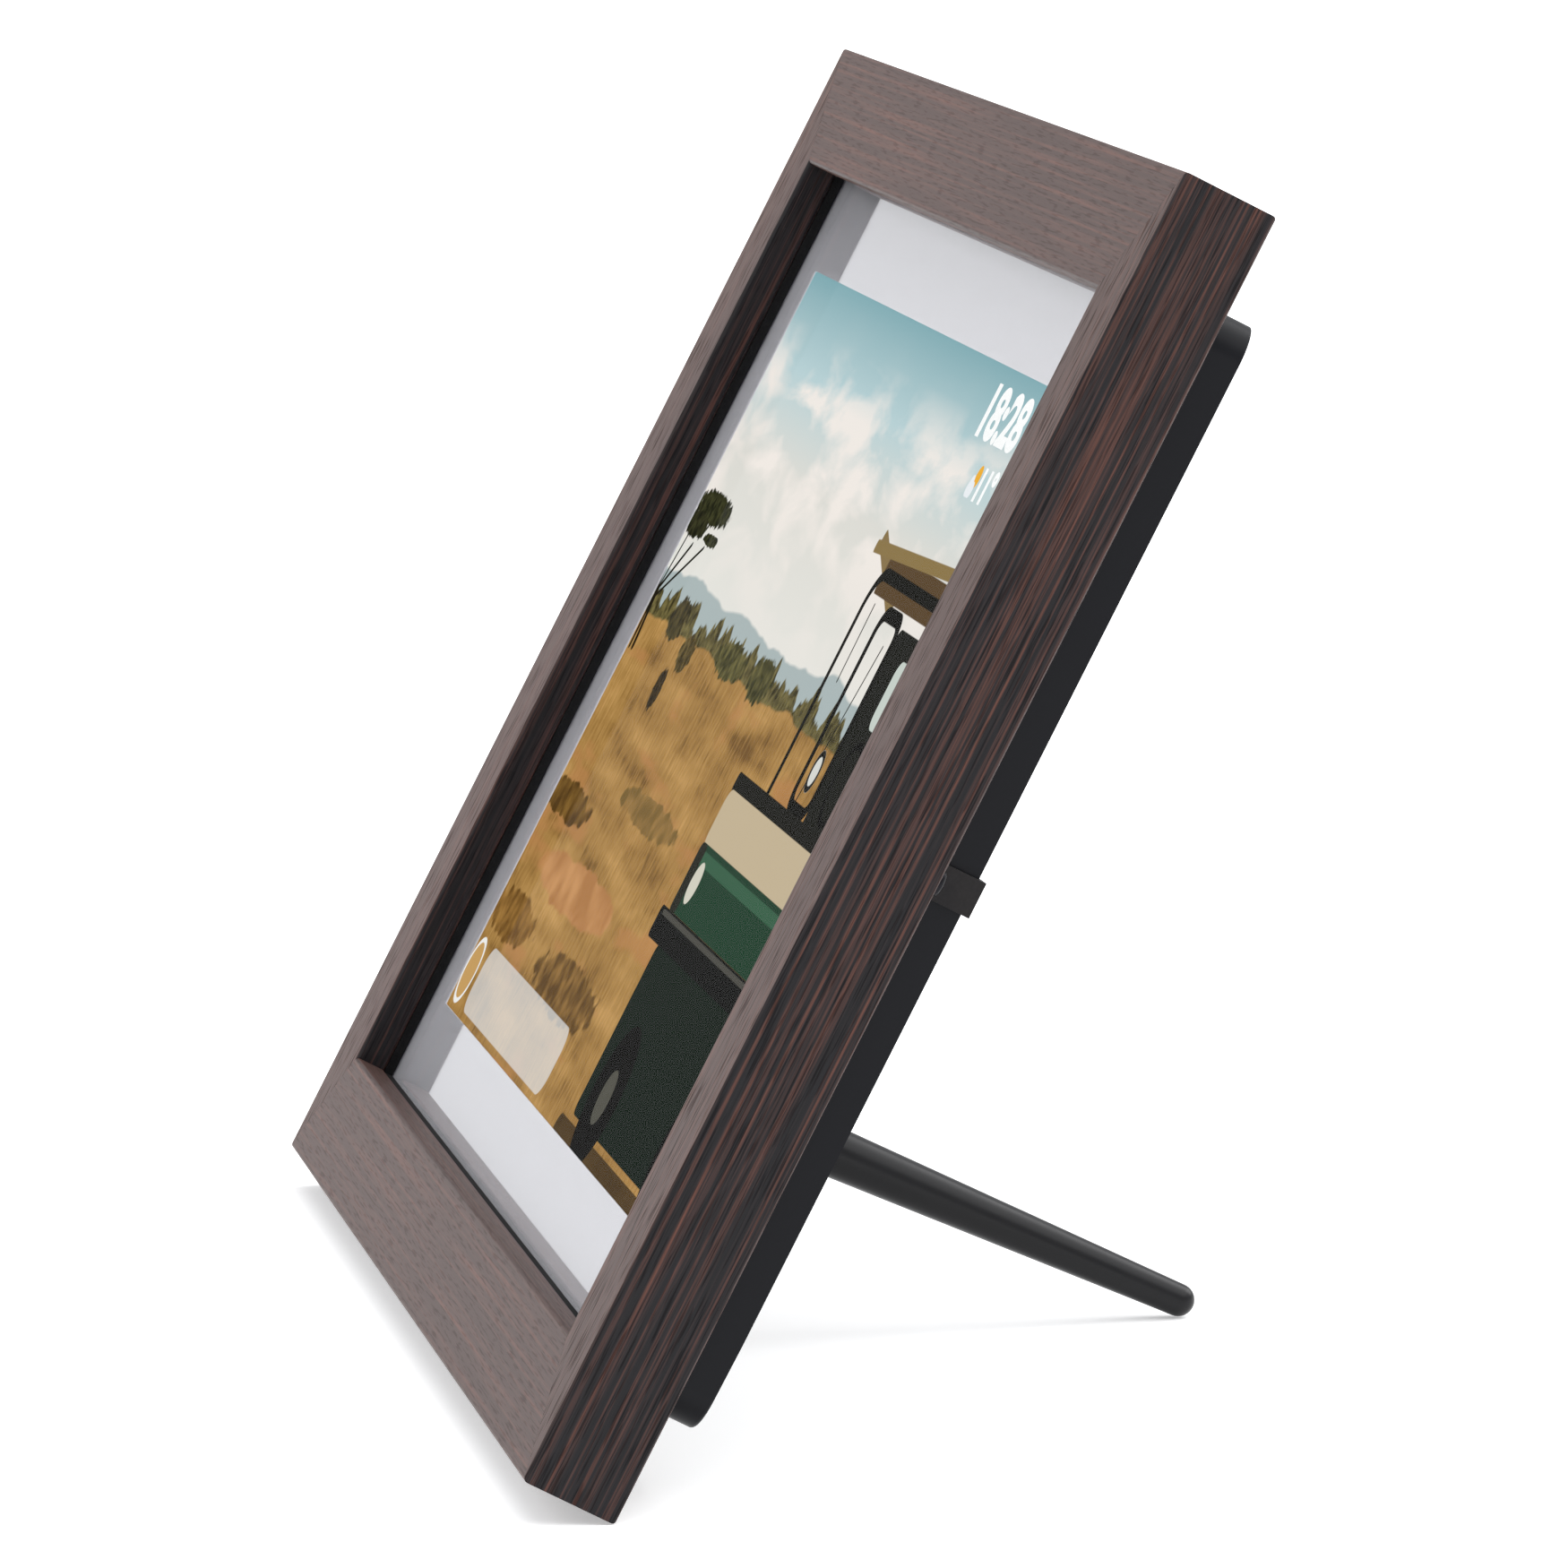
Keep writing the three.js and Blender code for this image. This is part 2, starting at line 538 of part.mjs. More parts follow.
function addElectronics(parent) {
  const board = block(
    boardLeft, boardLeft + BOARD_WIDTH, boardFront, boardBack, boardZ - BOARD_HEIGHT / 2, boardTop,
  );
  const boardHoles = boardScrews.map(({ x, z }) =>
    rod(BOARD_SCREW_RADIUS + SCREW_CLEARANCE, boardFront - 1, boardBack + 1, x, z, SCREW_SIDES));
  addPiece(parent, 'main_board', shape(board, [], boardHoles), finish(0x1d5a34, 0.5, 0));

  const shieldSize = 26;
  const shield = sheet(rectangle(shieldSize, shieldSize, 1, boardX + 6, boardZ + 6), partsBack, 2.4);
  addPiece(parent, 'processor_shield', shield, finish(0xb9bcc0, 0.35, 1));

  const radio = sheet(rectangle(13, 15, 0.5, boardX + 32, boardZ + 22), partsBack, 2);
  addPiece(parent, 'wifi_module', radio, finish(0xa9adb2, 0.35, 1));

  const antennaX = boardX + BOARD_WIDTH / 2 + 30;
  const antennaFront = housingInside - SEAT_GAP - 0.5;
  const antenna = sheet(rectangle(42, 8, 1, antennaX, boardZ + 12), antennaFront, 0.5);
  addPiece(parent, 'wifi_antenna', antenna, finish(0x2b2b2d, 0.6, 0));

  boardScrews.forEach(({ x, z }, index) => {
    const length = housingInside - boardFront - SEAT_GAP;
    const geometry = panScrew(BOARD_SCREW_RADIUS, length, BOARD_HEAD_RADIUS, BOARD_HEAD_HEIGHT);
    const screw = addPiece(parent, `board_screw_${index + 1}`, geometry, finish(0xc2c5c8, 0.3, 1));
    screw.position.set(x, boardFront - SEAT_GAP, z);
    screw.rotation.x = Math.PI;
  });

  const jackBody = block(
    portMouth, portMouth + JACK_LENGTH,
    partsBack, partsBack + JACK_HEIGHT,
    portZ.jack - JACK_WIDTH / 2, portZ.jack + JACK_WIDTH / 2,
  );
  const jackBore = crossRod(
    JACK_BORE_RADIUS, portMouth - 1, portMouth + JACK_LENGTH - 3,
    portDepth(JACK_HEIGHT), portZ.jack, ROD_SIDES,
  );
  addPiece(parent, 'power_jack', shape(jackBody, [], [jackBore]), finish(0x141415, 0.5, 0));

  const usbBody = block(
    portMouth, portMouth + USB_LENGTH,
    partsBack, partsBack + USB_HEIGHT,
    portZ.usb - USB_WIDTH / 2, portZ.usb + USB_WIDTH / 2,
  );
  const usbMouth = block(
    portMouth - 1, portMouth + USB_LENGTH - 3,
    partsBack + USB_WALL, partsBack + USB_HEIGHT - USB_WALL,
    portZ.usb - USB_WIDTH / 2 + USB_WALL, portZ.usb + USB_WIDTH / 2 - USB_WALL,
  );
  const tongueFront = partsBack + USB_WALL + USB_TONGUE_GAP;
  const usbTongue = block(
    portMouth + 1, portMouth + USB_LENGTH - 2,
    tongueFront, tongueFront + USB_TONGUE_THICKNESS,
    portZ.usb - USB_TONGUE_WIDTH / 2, portZ.usb + USB_TONGUE_WIDTH / 2,
  );
  const usb = shape(shape(usbBody, [], [usbMouth]), [usbTongue], []);
  addPiece(parent, 'usb_port', usb, finish(0xc8cacc, 0.3, 1));

  const cardBody = block(
    portMouth, portMouth + CARD_LENGTH,
    partsBack, partsBack + CARD_HEIGHT,
    portZ.card - CARD_WIDTH / 2, portZ.card + CARD_WIDTH / 2,
  );
  const cardMouth = block(
    portMouth - 1, portMouth + CARD_LENGTH - 2,
    portDepth(CARD_HEIGHT) - CARD_SLOT_HEIGHT / 2, portDepth(CARD_HEIGHT) + CARD_SLOT_HEIGHT / 2,
    portZ.card - CARD_SLOT_WIDTH / 2, portZ.card + CARD_SLOT_WIDTH / 2,
  );
  addPiece(parent, 'card_slot', shape(cardBody, [], [cardMouth]), finish(0xb4b7ba, 0.35, 1));

  const buttonInner = portMouth + HOUSING_WALL - PORT_RECESS + SEAT_GAP + BUTTON_FLANGE_THICKNESS;
  const switchFace = buttonInner + BUTTON_TRAVEL + SEAT_GAP;
  const switchBody = block(
    switchFace, switchFace + SWITCH_LENGTH,
    partsBack, partsBack + SWITCH_HEIGHT,
    portZ.button - SWITCH_WIDTH / 2, portZ.button + SWITCH_WIDTH / 2,
  );
  addPiece(parent, 'power_switch', switchBody, finish(0x1a1a1b, 0.5, 0));

  const outerFace = -housingWidth / 2 - BUTTON_PROUD;
  const cap = turned([
    [0, 0],
    [BUTTON_FLANGE_RADIUS, 0],
    [BUTTON_FLANGE_RADIUS, BUTTON_FLANGE_THICKNESS],
    [BUTTON_RADIUS, BUTTON_FLANGE_THICKNESS],
    [BUTTON_RADIUS, buttonInner - outerFace - 0.4],
    [BUTTON_RADIUS - 0.4, buttonInner - outerFace],
    [0, buttonInner - outerFace],
  ], ROD_SIDES);
  const button = addPiece(parent, 'power_button', cap, finish(0x202022, 0.45, 0));
  button.rotation.z = Math.PI / 2;
  button.position.set(buttonInner, buttonDepth, portZ.button);

  for (const side of [-1, 1]) {
    const x = side * speakerX;
    const z = midHeight - housingHeight / 2 + SPEAKER_FROM_BOTTOM;
    const front = housingInside - SEAT_GAP - SPEAKER_HEIGHT;
    const body = sheet(rectangle(SPEAKER_LENGTH, SPEAKER_WIDTH, 6, x, z), front, SPEAKER_HEIGHT);
    const name = side < 0 ? 'speaker_left' : 'speaker_right';
    addPiece(parent, name, body, finish(0x18181a, 0.6, 0));
  }
}

// ---------------------------------------------------------------- rear housing

/** The two leg sockets: one for landscape, one for portrait with the frame on its right side. */
const SOCKETS = [
  { name: 'leg_insert', x: 0, z: LEG_HEIGHT, spin: 0 },
  { name: 'portrait_insert', x: halfWidth - LEG_HEIGHT, z: midHeight, spin: -Math.PI / 2 },
];

/** Where a socket sits and how its axis tilts away from the edge that the frame stands on. */
function socketMatrix(socket) {
  const place = new THREE.Matrix4().makeTranslation(socket.x, legSeat, socket.z);
  const spin = new THREE.Matrix4().makeRotationY(socket.spin);
  const tilt = new THREE.Matrix4().makeRotationX(LEG_TILT);
  return place.multiply(spin).multiply(tilt);
}

function keyhole(x) {
  const top = midHeight + housingHeight / 2 - KEYHOLE_DROP;
  const depthFrom = housingInside - 1;
  const depthTo = housingBack + 1;
  return [
    rod(KEYHOLE_HEAD_RADIUS, depthFrom, depthTo, x, top - KEYHOLE_SLOT_LENGTH, ROD_SIDES),
    block(
      x - KEYHOLE_SLOT_WIDTH / 2, x + KEYHOLE_SLOT_WIDTH / 2,
      depthFrom, depthTo,
      top - KEYHOLE_SLOT_LENGTH, top,
    ),
  ];
}

/** A round-ended slot through the housing's floor. */
function floorSlot(width, height, x, z) {
  const outline = rectangle(width, height, Math.min(width, height) * 0.45, x, z);
  return sheet(outline, housingInside - 1, HOUSING_WALL + 2, SLOT_STEPS);
}

function addHousing(parent) {
  const body = sheet(
    rectangle(housingWidth, housingHeight, HOUSING_CORNER, 0, midHeight),
    housingFront,
    housingBack - housingFront,
  );
  const hollow = sheet(
    rectangle(innerWidth, innerHeight, HOUSING_CORNER - HOUSING_WALL, 0, midHeight),
    housingFront - 1,
    housingInside - housingFront + 1,
  );
  const shell = shape(body, [], [hollow]);

  const coverBore = COVER_SCREW_RADIUS + SCREW_CLEARANCE;
  const boardBore = BOARD_SCREW_RADIUS + SCREW_CLEARANCE;
  const bossEnd = chassisPostEnd + SEAT_GAP;
  const into = HOUSING_WALL / 4;
  const insertBore = INSERT_RADIUS + SEAT_GAP;
  const socketDepth = INSERT_LENGTH + 2 * SEAT_GAP;
  const additions = [
    ...coverScrews.map(({ x, z }) =>
      rod(coverBore + POST_WALL, bossEnd, housingInside + into, x, z, ROD_SIDES)),
    ...boardScrews.map(({ x, z }) =>
      rod(boardBore + POST_WALL / 2, partsBack, housingInside + into, x, z, SCREW_SIDES)),
    ...SOCKETS.map((socket) =>
      rod(insertBore + SOCKET_WALL, -socketDepth - SOCKET_WALL / 2, -LEG_POCKET_DEPTH, 0, 0, ROD_SIDES)
        .applyMatrix4(socketMatrix(socket))),
  ];

  const wallOut = -housingWidth / 2 - 1;
  const wallIn = -innerWidth / 2 + 1;
  const portHole = (width, height, z) => block(
    wallOut, wallIn,
    partsBack - SEAT_GAP, partsBack + height + SEAT_GAP,
    z - width / 2 - SEAT_GAP, z + width / 2 + SEAT_GAP,
  );
  const grilleZ = midHeight - housingHeight / 2 + SPEAKER_FROM_BOTTOM;
  const holes = [
    ...coverScrews.flatMap(({ x, z }) => [
      rod(coverBore, bossEnd - 1, housingBack + 1, x, z, SCREW_SIDES),
      rod(COVER_HEAD_RADIUS + SCREW_CLEARANCE, headSeat, housingBack + 1, x, z, ROD_SIDES),
    ]),
    ...boardScrews.map(({ x, z }) => rod(boardBore, partsBack - 1, housingInside, x, z, SCREW_SIDES)),
    ...SOCKETS.flatMap((socket) => [
      rod(LEG_ROOT_RADIUS + SEAT_GAP, 0, 4, 0, 0, ROD_SIDES).applyMatrix4(socketMatrix(socket)),
      rod(insertBore, -socketDepth, 1, 0, 0, ROD_SIDES).applyMatrix4(socketMatrix(socket)),
    ]),
    ...keyhole(-KEYHOLE_SPACING / 2),
    ...keyhole(KEYHOLE_SPACING / 2),
    ...[...Array(VENT_COUNT).keys()].map((index) =>
      floorSlot(VENT_WIDTH, VENT_HEIGHT, boardX + (index - (VENT_COUNT - 1) / 2) * VENT_PITCH, boardZ)),
    ...[-1, 1].flatMap((side) => [...Array(GRILLE_COUNT).keys()].map((index) =>
      floorSlot(
        GRILLE_LENGTH,
        GRILLE_WIDTH,
        side * speakerX,
        grilleZ + (index - (GRILLE_COUNT - 1) / 2) * GRILLE_PITCH,
      ))),
    portHole(JACK_WIDTH, JACK_HEIGHT, portZ.jack),
    portHole(USB_WIDTH, USB_HEIGHT, portZ.usb),
    portHole(CARD_WIDTH, CARD_HEIGHT, portZ.card),
    crossRod(BUTTON_RADIUS + BUTTON_PLAY, wallOut, wallIn, buttonDepth, portZ.button, ROD_SIDES),
  ];
  addPiece(parent, 'rear_cover', shape(shell, additions, holes), finish(0x232427, 0.5, 0));

  coverScrews.forEach(({ x, z }, index) => {
    const length = headSeat - chassisBack;
    const geometry = panScrew(COVER_SCREW_RADIUS, length, COVER_HEAD_RADIUS, COVER_HEAD_HEIGHT);
    const screw = addPiece(parent, `cover_screw_${index + 1}`, geometry, finish(0x1b1b1d, 0.35, 1));
    screw.position.set(x, headSeat + SEAT_GAP, z);
  });

  for (const socket of SOCKETS) {
    const sleeve = shape(
      rod(INSERT_RADIUS, -INSERT_LENGTH - SEAT_GAP, -SEAT_GAP, 0, 0, ROD_SIDES),
      [],
      [rod(STUD_RADIUS + SCREW_CLEARANCE, -INSERT_LENGTH - 1, 1, 0, 0, ROD_SIDES)],
    );
    const insert = addPiece(parent, socket.name, sleeve, finish(0xc7a24a, 0.35, 1));
    insert.applyMatrix4(socketMatrix(socket));
  }
}

// ---------------------------------------------------------------- retaining clips

/** A clip seen from its end, about the housing's edge: a foot on the wood, a riser and a lip. */
function clipGeometry() {
  const foot = FRAME_DEPTH + SEAT_GAP;
  const lip = housingBack + SEAT_GAP;
  const outline = new THREE.Shape();
  outline.moveTo(SEAT_GAP, foot);
  outline.lineTo(clipReach + CLIP_FOOT, foot);
  outline.lineTo(clipReach + CLIP_FOOT, foot + CLIP_GAUGE);
  outline.lineTo(clipReach, foot + CLIP_GAUGE);
  outline.lineTo(clipReach, lip + CLIP_GAUGE);
  outline.lineTo(-CLIP_LIP, lip + CLIP_GAUGE);
  outline.lineTo(-CLIP_LIP, lip);
  outline.lineTo(SEAT_GAP, lip);
  const bar = new THREE.ExtrudeGeometry(outline, { depth: CLIP_WIDTH, bevelEnabled: false });
  bar.translate(0, 0, -CLIP_WIDTH / 2);
  const bore = CLIP_SCREW_RADIUS + SCREW_CLEARANCE;
  const hole = rod(bore, foot - 1, foot + CLIP_GAUGE + 1, clipScrewOut, 0, SCREW_SIDES);
  return shape(bar, [], [hole]);
}

function addClips(parent) {
  for (const clip of CLIPS) {
    const bracket = addPiece(parent, `clip_${clip.name}`, clipGeometry(), finish(0x222225, 0.45, 1));
    bracket.position.set(clip.x, 0, clip.z);
    bracket.rotation.y = clip.turn;

    const geometry = panScrew(CLIP_SCREW_RADIUS, CLIP_SCREW_LENGTH, CLIP_HEAD_RADIUS, CLIP_HEAD_HEIGHT);
    const screw = addPiece(parent, `clip_screw_${clip.name}`, geometry, finish(0x1b1b1d, 0.35, 1));
    screw.position.set(
      clip.x + clipScrewOut * Math.cos(clip.turn),
      FRAME_DEPTH + 2 * SEAT_GAP + CLIP_GAUGE,
      clip.z - clipScrewOut * Math.sin(clip.turn),
    );
  }
}

// ---------------------------------------------------------------- leg

function addLeg(parent) {
  const leg = new THREE.Group();
  leg.position.set(0, legSeat, LEG_HEIGHT);
  leg.rotation.x = LEG_TILT;
  parent.add(leg);

  const tipSteps = 6;
  const tip = [...Array(tipSteps + 1).keys()].map((step) => {
    const angle = (step / tipSteps) * (Math.PI / 2);
    const radius = step === tipSteps ? 0 : LEG_TIP_RADIUS * Math.cos(angle);
    return [radius, tipCentre + LEG_TIP_RADIUS * Math.sin(angle)];
  });
  const boreRadius = STUD_RADIUS + SCREW_CLEARANCE;
  const boreEnd = legRoot + STUD_IN_LEG + SEAT_GAP;
  const shaft = turned([
    [0, boreEnd],
    [boreRadius, boreEnd],
    [boreRadius, legRoot],
    [LEG_ROOT_RADIUS - 0.5, legRoot],
    [LEG_ROOT_RADIUS, legRoot + 0.5],
    ...tip,
  ], ROD_SIDES);
  addPiece(leg, 'leg', shaft, finish(0x1c1c1f, 0.4, 0));

  const chamfer = 0.5;
  const stud = turned([
    [0, -STUD_OUT],
    [STUD_RADIUS - chamfer, -STUD_OUT],
    [STUD_RADIUS, -STUD_OUT + chamfer],
    [STUD_RADIUS, legRoot + STUD_IN_LEG],
    [0, legRoot + STUD_IN_LEG],
  ], ROD_SIDES);
  addPiece(leg, 'leg_stud', stud, finish(0xa6a9ad, 0.3, 1));

  const washer = shape(
    rod(WASHER_RADIUS, washerFront, washerFront + WASHER_THICKNESS, 0, 0, ROD_SIDES),
    [],
    [rod(boreRadius, washerFront - 1, washerFront + WASHER_THICKNESS + 1, 0, 0, ROD_SIDES)],
  );
  addPiece(leg, 'leg_washer', washer, finish(0x111112, 0.9, 0));
}

// ---------------------------------------------------------------- the whole frame

const upright = new THREE.Group();
addMoulding(upright);
addSheets(upright);
addScreen(upright);
addElectronics(upright);
addHousing(upright);
addClips(upright);
addLeg(upright);

// Lean the frame back about its rear bottom edge, with the footprint's middle at the origin
const footprintFront = -FRAME_DEPTH * Math.cos(lean);
const footprintBack = tipReach * Math.cos(lean) + tipRise * Math.sin(lean) + LEG_TIP_RADIUS;
const rearEdge = -(footprintFront + footprintBack) / 2;
upright.rotation.x = -lean;
upright.position.set(0, rearEdge + footprintFront, FRAME_DEPTH * Math.sin(lean));

const photoFrame = new THREE.Group();
photoFrame.add(upright);

export default photoFrame;
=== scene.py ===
"""Looks for a wooden digital photo frame that leans back on a screw-in leg.

Pieces are shaped in the frame's own axes, in millimetres: X to the right, Y from the front
face backwards and Z up along the frame from its bottom edge. Each one is then leaned back
into place, so its object stays at the origin.
"""

import logging
import math
from collections.abc import Callable, Sequence
from dataclasses import dataclass
from enum import Enum

import bmesh
import bpy
from mathutils import Matrix, Vector


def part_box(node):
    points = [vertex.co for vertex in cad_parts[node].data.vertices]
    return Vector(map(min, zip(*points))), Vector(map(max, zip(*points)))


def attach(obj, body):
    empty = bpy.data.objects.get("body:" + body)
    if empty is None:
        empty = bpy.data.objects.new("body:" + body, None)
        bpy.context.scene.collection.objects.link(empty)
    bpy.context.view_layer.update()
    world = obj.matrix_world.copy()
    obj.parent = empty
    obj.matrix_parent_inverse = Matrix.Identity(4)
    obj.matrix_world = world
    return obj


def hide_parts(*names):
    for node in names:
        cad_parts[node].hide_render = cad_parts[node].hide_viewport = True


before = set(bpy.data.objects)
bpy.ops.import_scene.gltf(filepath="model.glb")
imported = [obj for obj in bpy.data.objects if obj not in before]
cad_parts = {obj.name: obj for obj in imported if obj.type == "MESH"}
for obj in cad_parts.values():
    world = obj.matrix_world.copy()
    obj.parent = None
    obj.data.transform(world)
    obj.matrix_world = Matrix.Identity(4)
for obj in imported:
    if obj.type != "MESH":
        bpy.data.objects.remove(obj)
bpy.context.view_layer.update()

log = logging.getLogger("photo_frame")

MM = 0.001
JOIN_DISTANCE = 0.004
FLAT_ANGLE = math.radians(0.4)
CREASE_ANGLE = math.radians(32)
ARRIS_ANGLE = math.radians(40)

# The lit area of the display, and a length past everything
LIT_WIDTH = 344.2
LIT_HEIGHT = 193.6
FAR = 1000.0

# Sockets of the colour Mix node, which share their names with its other kinds
MIX_FACTOR, MIX_UNDER, MIX_OVER, MIX_COLOUR = 0, 6, 7, 2


# ------------------------------------------------------------------ axes and colours


@dataclass(frozen=True)
class Placement:
    """Own axes of a group of pieces, in millimetres, and where they lie in the object."""

    matrix: Matrix

    def mapping(self) -> dict[str, object]:
        """Settings of a Mapping node that turns Object coordinates into these axes.

        Returns:
            The values of its Location, Rotation and Scale sockets.
        """
        inverse = self.matrix.inverted()
        turn = inverse.to_3x3().normalized().to_euler()
        return {
            "Location": tuple(inverse.translation),
            "Rotation": tuple(turn),
            "Scale": (1 / MM, 1 / MM, 1 / MM),
        }

    def box(self, node: str) -> tuple[Vector, Vector]:
        """Lowest and highest corners of a CAD node along these axes.

        Args:
            node: The CAD node's name.

        Returns:
            The two corners, in millimetres.
        """
        inverse = self.matrix.inverted()
        corners = [inverse @ vertex.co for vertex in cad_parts[node].data.vertices]
        low = Vector(min(corner[axis] for corner in corners) for axis in range(3))
        high = Vector(max(corner[axis] for corner in corners) for axis in range(3))
        return low, high

    def moved(self, offset: Vector, tilt: float) -> "Placement":
        """Axes with a new origin, tipped about X.

        Args:
            offset: The new origin, in these axes.
            tilt: How far Y turns towards Z, in radians.

        Returns:
            The new axes.
        """
        step = Matrix.Translation(offset) @ Matrix.Rotation(tilt, 4, "X")
        return Placement(self.matrix @ step)


def leaning_axes(height: float, depth: float) -> Placement:
    """Finds the frame's own axes from the box of one upright of its moulding.

    Args:
        height: The moulding's height along the frame, in millimetres.
        depth: The moulding's depth, in millimetres.

    Returns:
        The frame's own axes.
    """
    low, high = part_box("left_stile")
    rise = (high.z - low.z) / MM
    run = (high.y - low.y) / MM
    span = height**2 - depth**2
    cosine = (height * rise - depth * run) / span
    sine = (height * run - depth * rise) / span
    origin = Vector((0, low.y, low.z + depth * sine * MM))
    lean = Matrix.Rotation(-math.atan2(sine, cosine), 4, "X")
    return Placement(Matrix.Translation(origin) @ lean @ Matrix.Scale(MM, 4))


def paint(code: str) -> tuple[float, float, float, float]:
    """Turns an sRGB hex colour into a linear one.

    Args:
        code: The colour, such as "#3b2a28".

    Returns:
        Linear red, green, blue and an alpha of 1.
    """
    channels = [int(code[start : start + 2], 16) / 255 for start in (1, 3, 5)]
    linear = [
        value / 12.92 if value <= 0.04045 else ((value + 0.055) / 1.055) ** 2.4
        for value in channels
    ]
    return (*linear, 1.0)


# ------------------------------------------------------------------ material graphs


def add_node(
    tree: bpy.types.NodeTree,
    kind: str,
    settings: dict[str, object] | None = None,
    inputs: dict[int | str, object] | None = None,
    stops: Sequence[tuple[float, str]] = (),
) -> bpy.types.Node:
    """Adds a node with its settings, links and ramp colours.

    Args:
        tree: The node tree it goes into.
        kind: The node's type.
        settings: Properties of the node by name.
        inputs: What each input takes: a value, a socket, or a node for its first output.
        stops: Positions and hex colours of a colour ramp.

    Returns:
        The new node.
    """
    node = tree.nodes.new(kind)
    for name, value in (settings or {}).items():
        setattr(node, name, value)
    for key, value in (inputs or {}).items():
        source = value.outputs[0] if isinstance(value, bpy.types.Node) else value
        if isinstance(source, bpy.types.NodeSocket):
            tree.links.new(source, node.inputs[key])
        else:
            node.inputs[key].default_value = source
    for index, (position, code) in enumerate(stops):
        elements = node.color_ramp.elements
        element = elements[index] if index < 2 else elements.new(position)
        element.position = position
        element.color = paint(code)
    return node


@dataclass(frozen=True)
class Canvas:
    """A material being made: its tree, its main shader and the axes its pattern lies on."""

    tree: bpy.types.NodeTree
    surface: bpy.types.Node
    output: bpy.types.Node
    local: bpy.types.NodeSocket

    def add(self, kind: str, *args: object, **kwargs: object) -> bpy.types.Node:
        """Adds a node to this material's tree."""
        return add_node(self.tree, kind, *args, **kwargs)

    def grain(
        self, sizes: tuple[float, float, float], detail: float, warp: float = 0.0
    ) -> bpy.types.NodeSocket:
        """A cloudy pattern whose blotches have given sizes.

        Args:
            sizes: Blotch size along each axis, in millimetres.
            detail: How many finer layers it has.
            warp: How far it is pulled about.

        Returns:
            A value from 0 to 1.
        """
        scale = tuple(1 / size for size in sizes)
        spread = self.add("ShaderNodeMapping", inputs={"Vector": self.local, "Scale": scale})
        noise = self.add(
            "ShaderNodeTexNoise",
            inputs={"Vector": spread, "Scale": 1.0, "Detail": detail, "Distortion": warp},
        )
        return noise.outputs["Fac"]

    def tone(self, pattern: bpy.types.NodeSocket, low: str, high: str) -> None:
        """Colours the main shader from one hex colour to another along a pattern."""
        mixed = self.add(
            "ShaderNodeMix",
            {"data_type": "RGBA"},
            {MIX_FACTOR: pattern, MIX_UNDER: paint(low), MIX_OVER: paint(high)},
        )
        self.tree.links.new(mixed.outputs[MIX_COLOUR], self.surface.inputs["Base Color"])

    def gloss(
        self, pattern: bpy.types.NodeSocket, reach: float, low: float, high: float
    ) -> None:
        """Varies the main shader's roughness along a pattern.

        Args:
            pattern: The pattern, which keeps to the middle of 0 to 1.
            reach: How far it goes to each side of 0.5.
            low: Roughness at its low end.
            high: Roughness at its high end.
        """
        spread = self.add(
            "ShaderNodeMapRange",
            inputs={0: pattern, 1: 0.5 - reach, 2: 0.5 + reach, 3: low, 4: high},
        )
        self.tree.links.new(spread.outputs[0], self.surface.inputs["Roughness"])

    def relief(self, height: bpy.types.NodeSocket, depth_mm: float, strength: float) -> None:
        """Gives the main shader a bump.

        Args:
            height: The pattern that stands up.
            depth_mm: Its depth, in millimetres.
            strength: How much of it shows, from 0 to 1.
        """
        bump = self.add(
            "ShaderNodeBump",
            inputs={"Height": height, "Distance": depth_mm * MM, "Strength": strength},
        )
        self.tree.links.new(bump.outputs["Normal"], self.surface.inputs["Normal"])


@dataclass(frozen=True)
class Finish:
    """A surface finish. Each kind says how it is drawn in `draw`."""

    name: str

    def draw(self, canvas: Canvas) -> None:
        """Draws the finish onto a canvas."""
        raise NotImplementedError

    def build(self, placement: Placement) -> bpy.types.Material:
        """Makes the material.

        Args:
            placement: The axes that its pattern lies on.

        Returns:
            The material.
        """
        material = bpy.data.materials.new(self.name)
        material.use_nodes = True
        tree = material.node_tree
        tree.nodes.clear()
        surface = add_node(tree, "ShaderNodeBsdfPrincipled")
        output = add_node(tree, "ShaderNodeOutputMaterial", inputs={"Surface": surface})
        place = add_node(tree, "ShaderNodeTexCoord")
        local = add_node(
            tree,
            "ShaderNodeMapping",
            inputs={"Vector": place.outputs["Object"], **placement.mapping()},
        )
        self.draw(Canvas(tree, surface, output, local.outputs[0]))
        return material


class Grain(Enum):
    """Which way a member's grain runs."""

    ACROSS = "across"
    UP = "up"

    def sizes(self, along: float, across: float, deep: float) -> tuple[float, float, float]:
        """Blotch sizes of a pattern drawn out along the grain, in millimetres.

        Args:
            along: Size along the member.
            across: Size over the width of its face.
            deep: Size from its face to its back.

        Returns:
            The sizes on the frame's own axes.
        """
        if self is Grain.ACROSS:
            return (along, deep, across)
        return (across, deep, along)


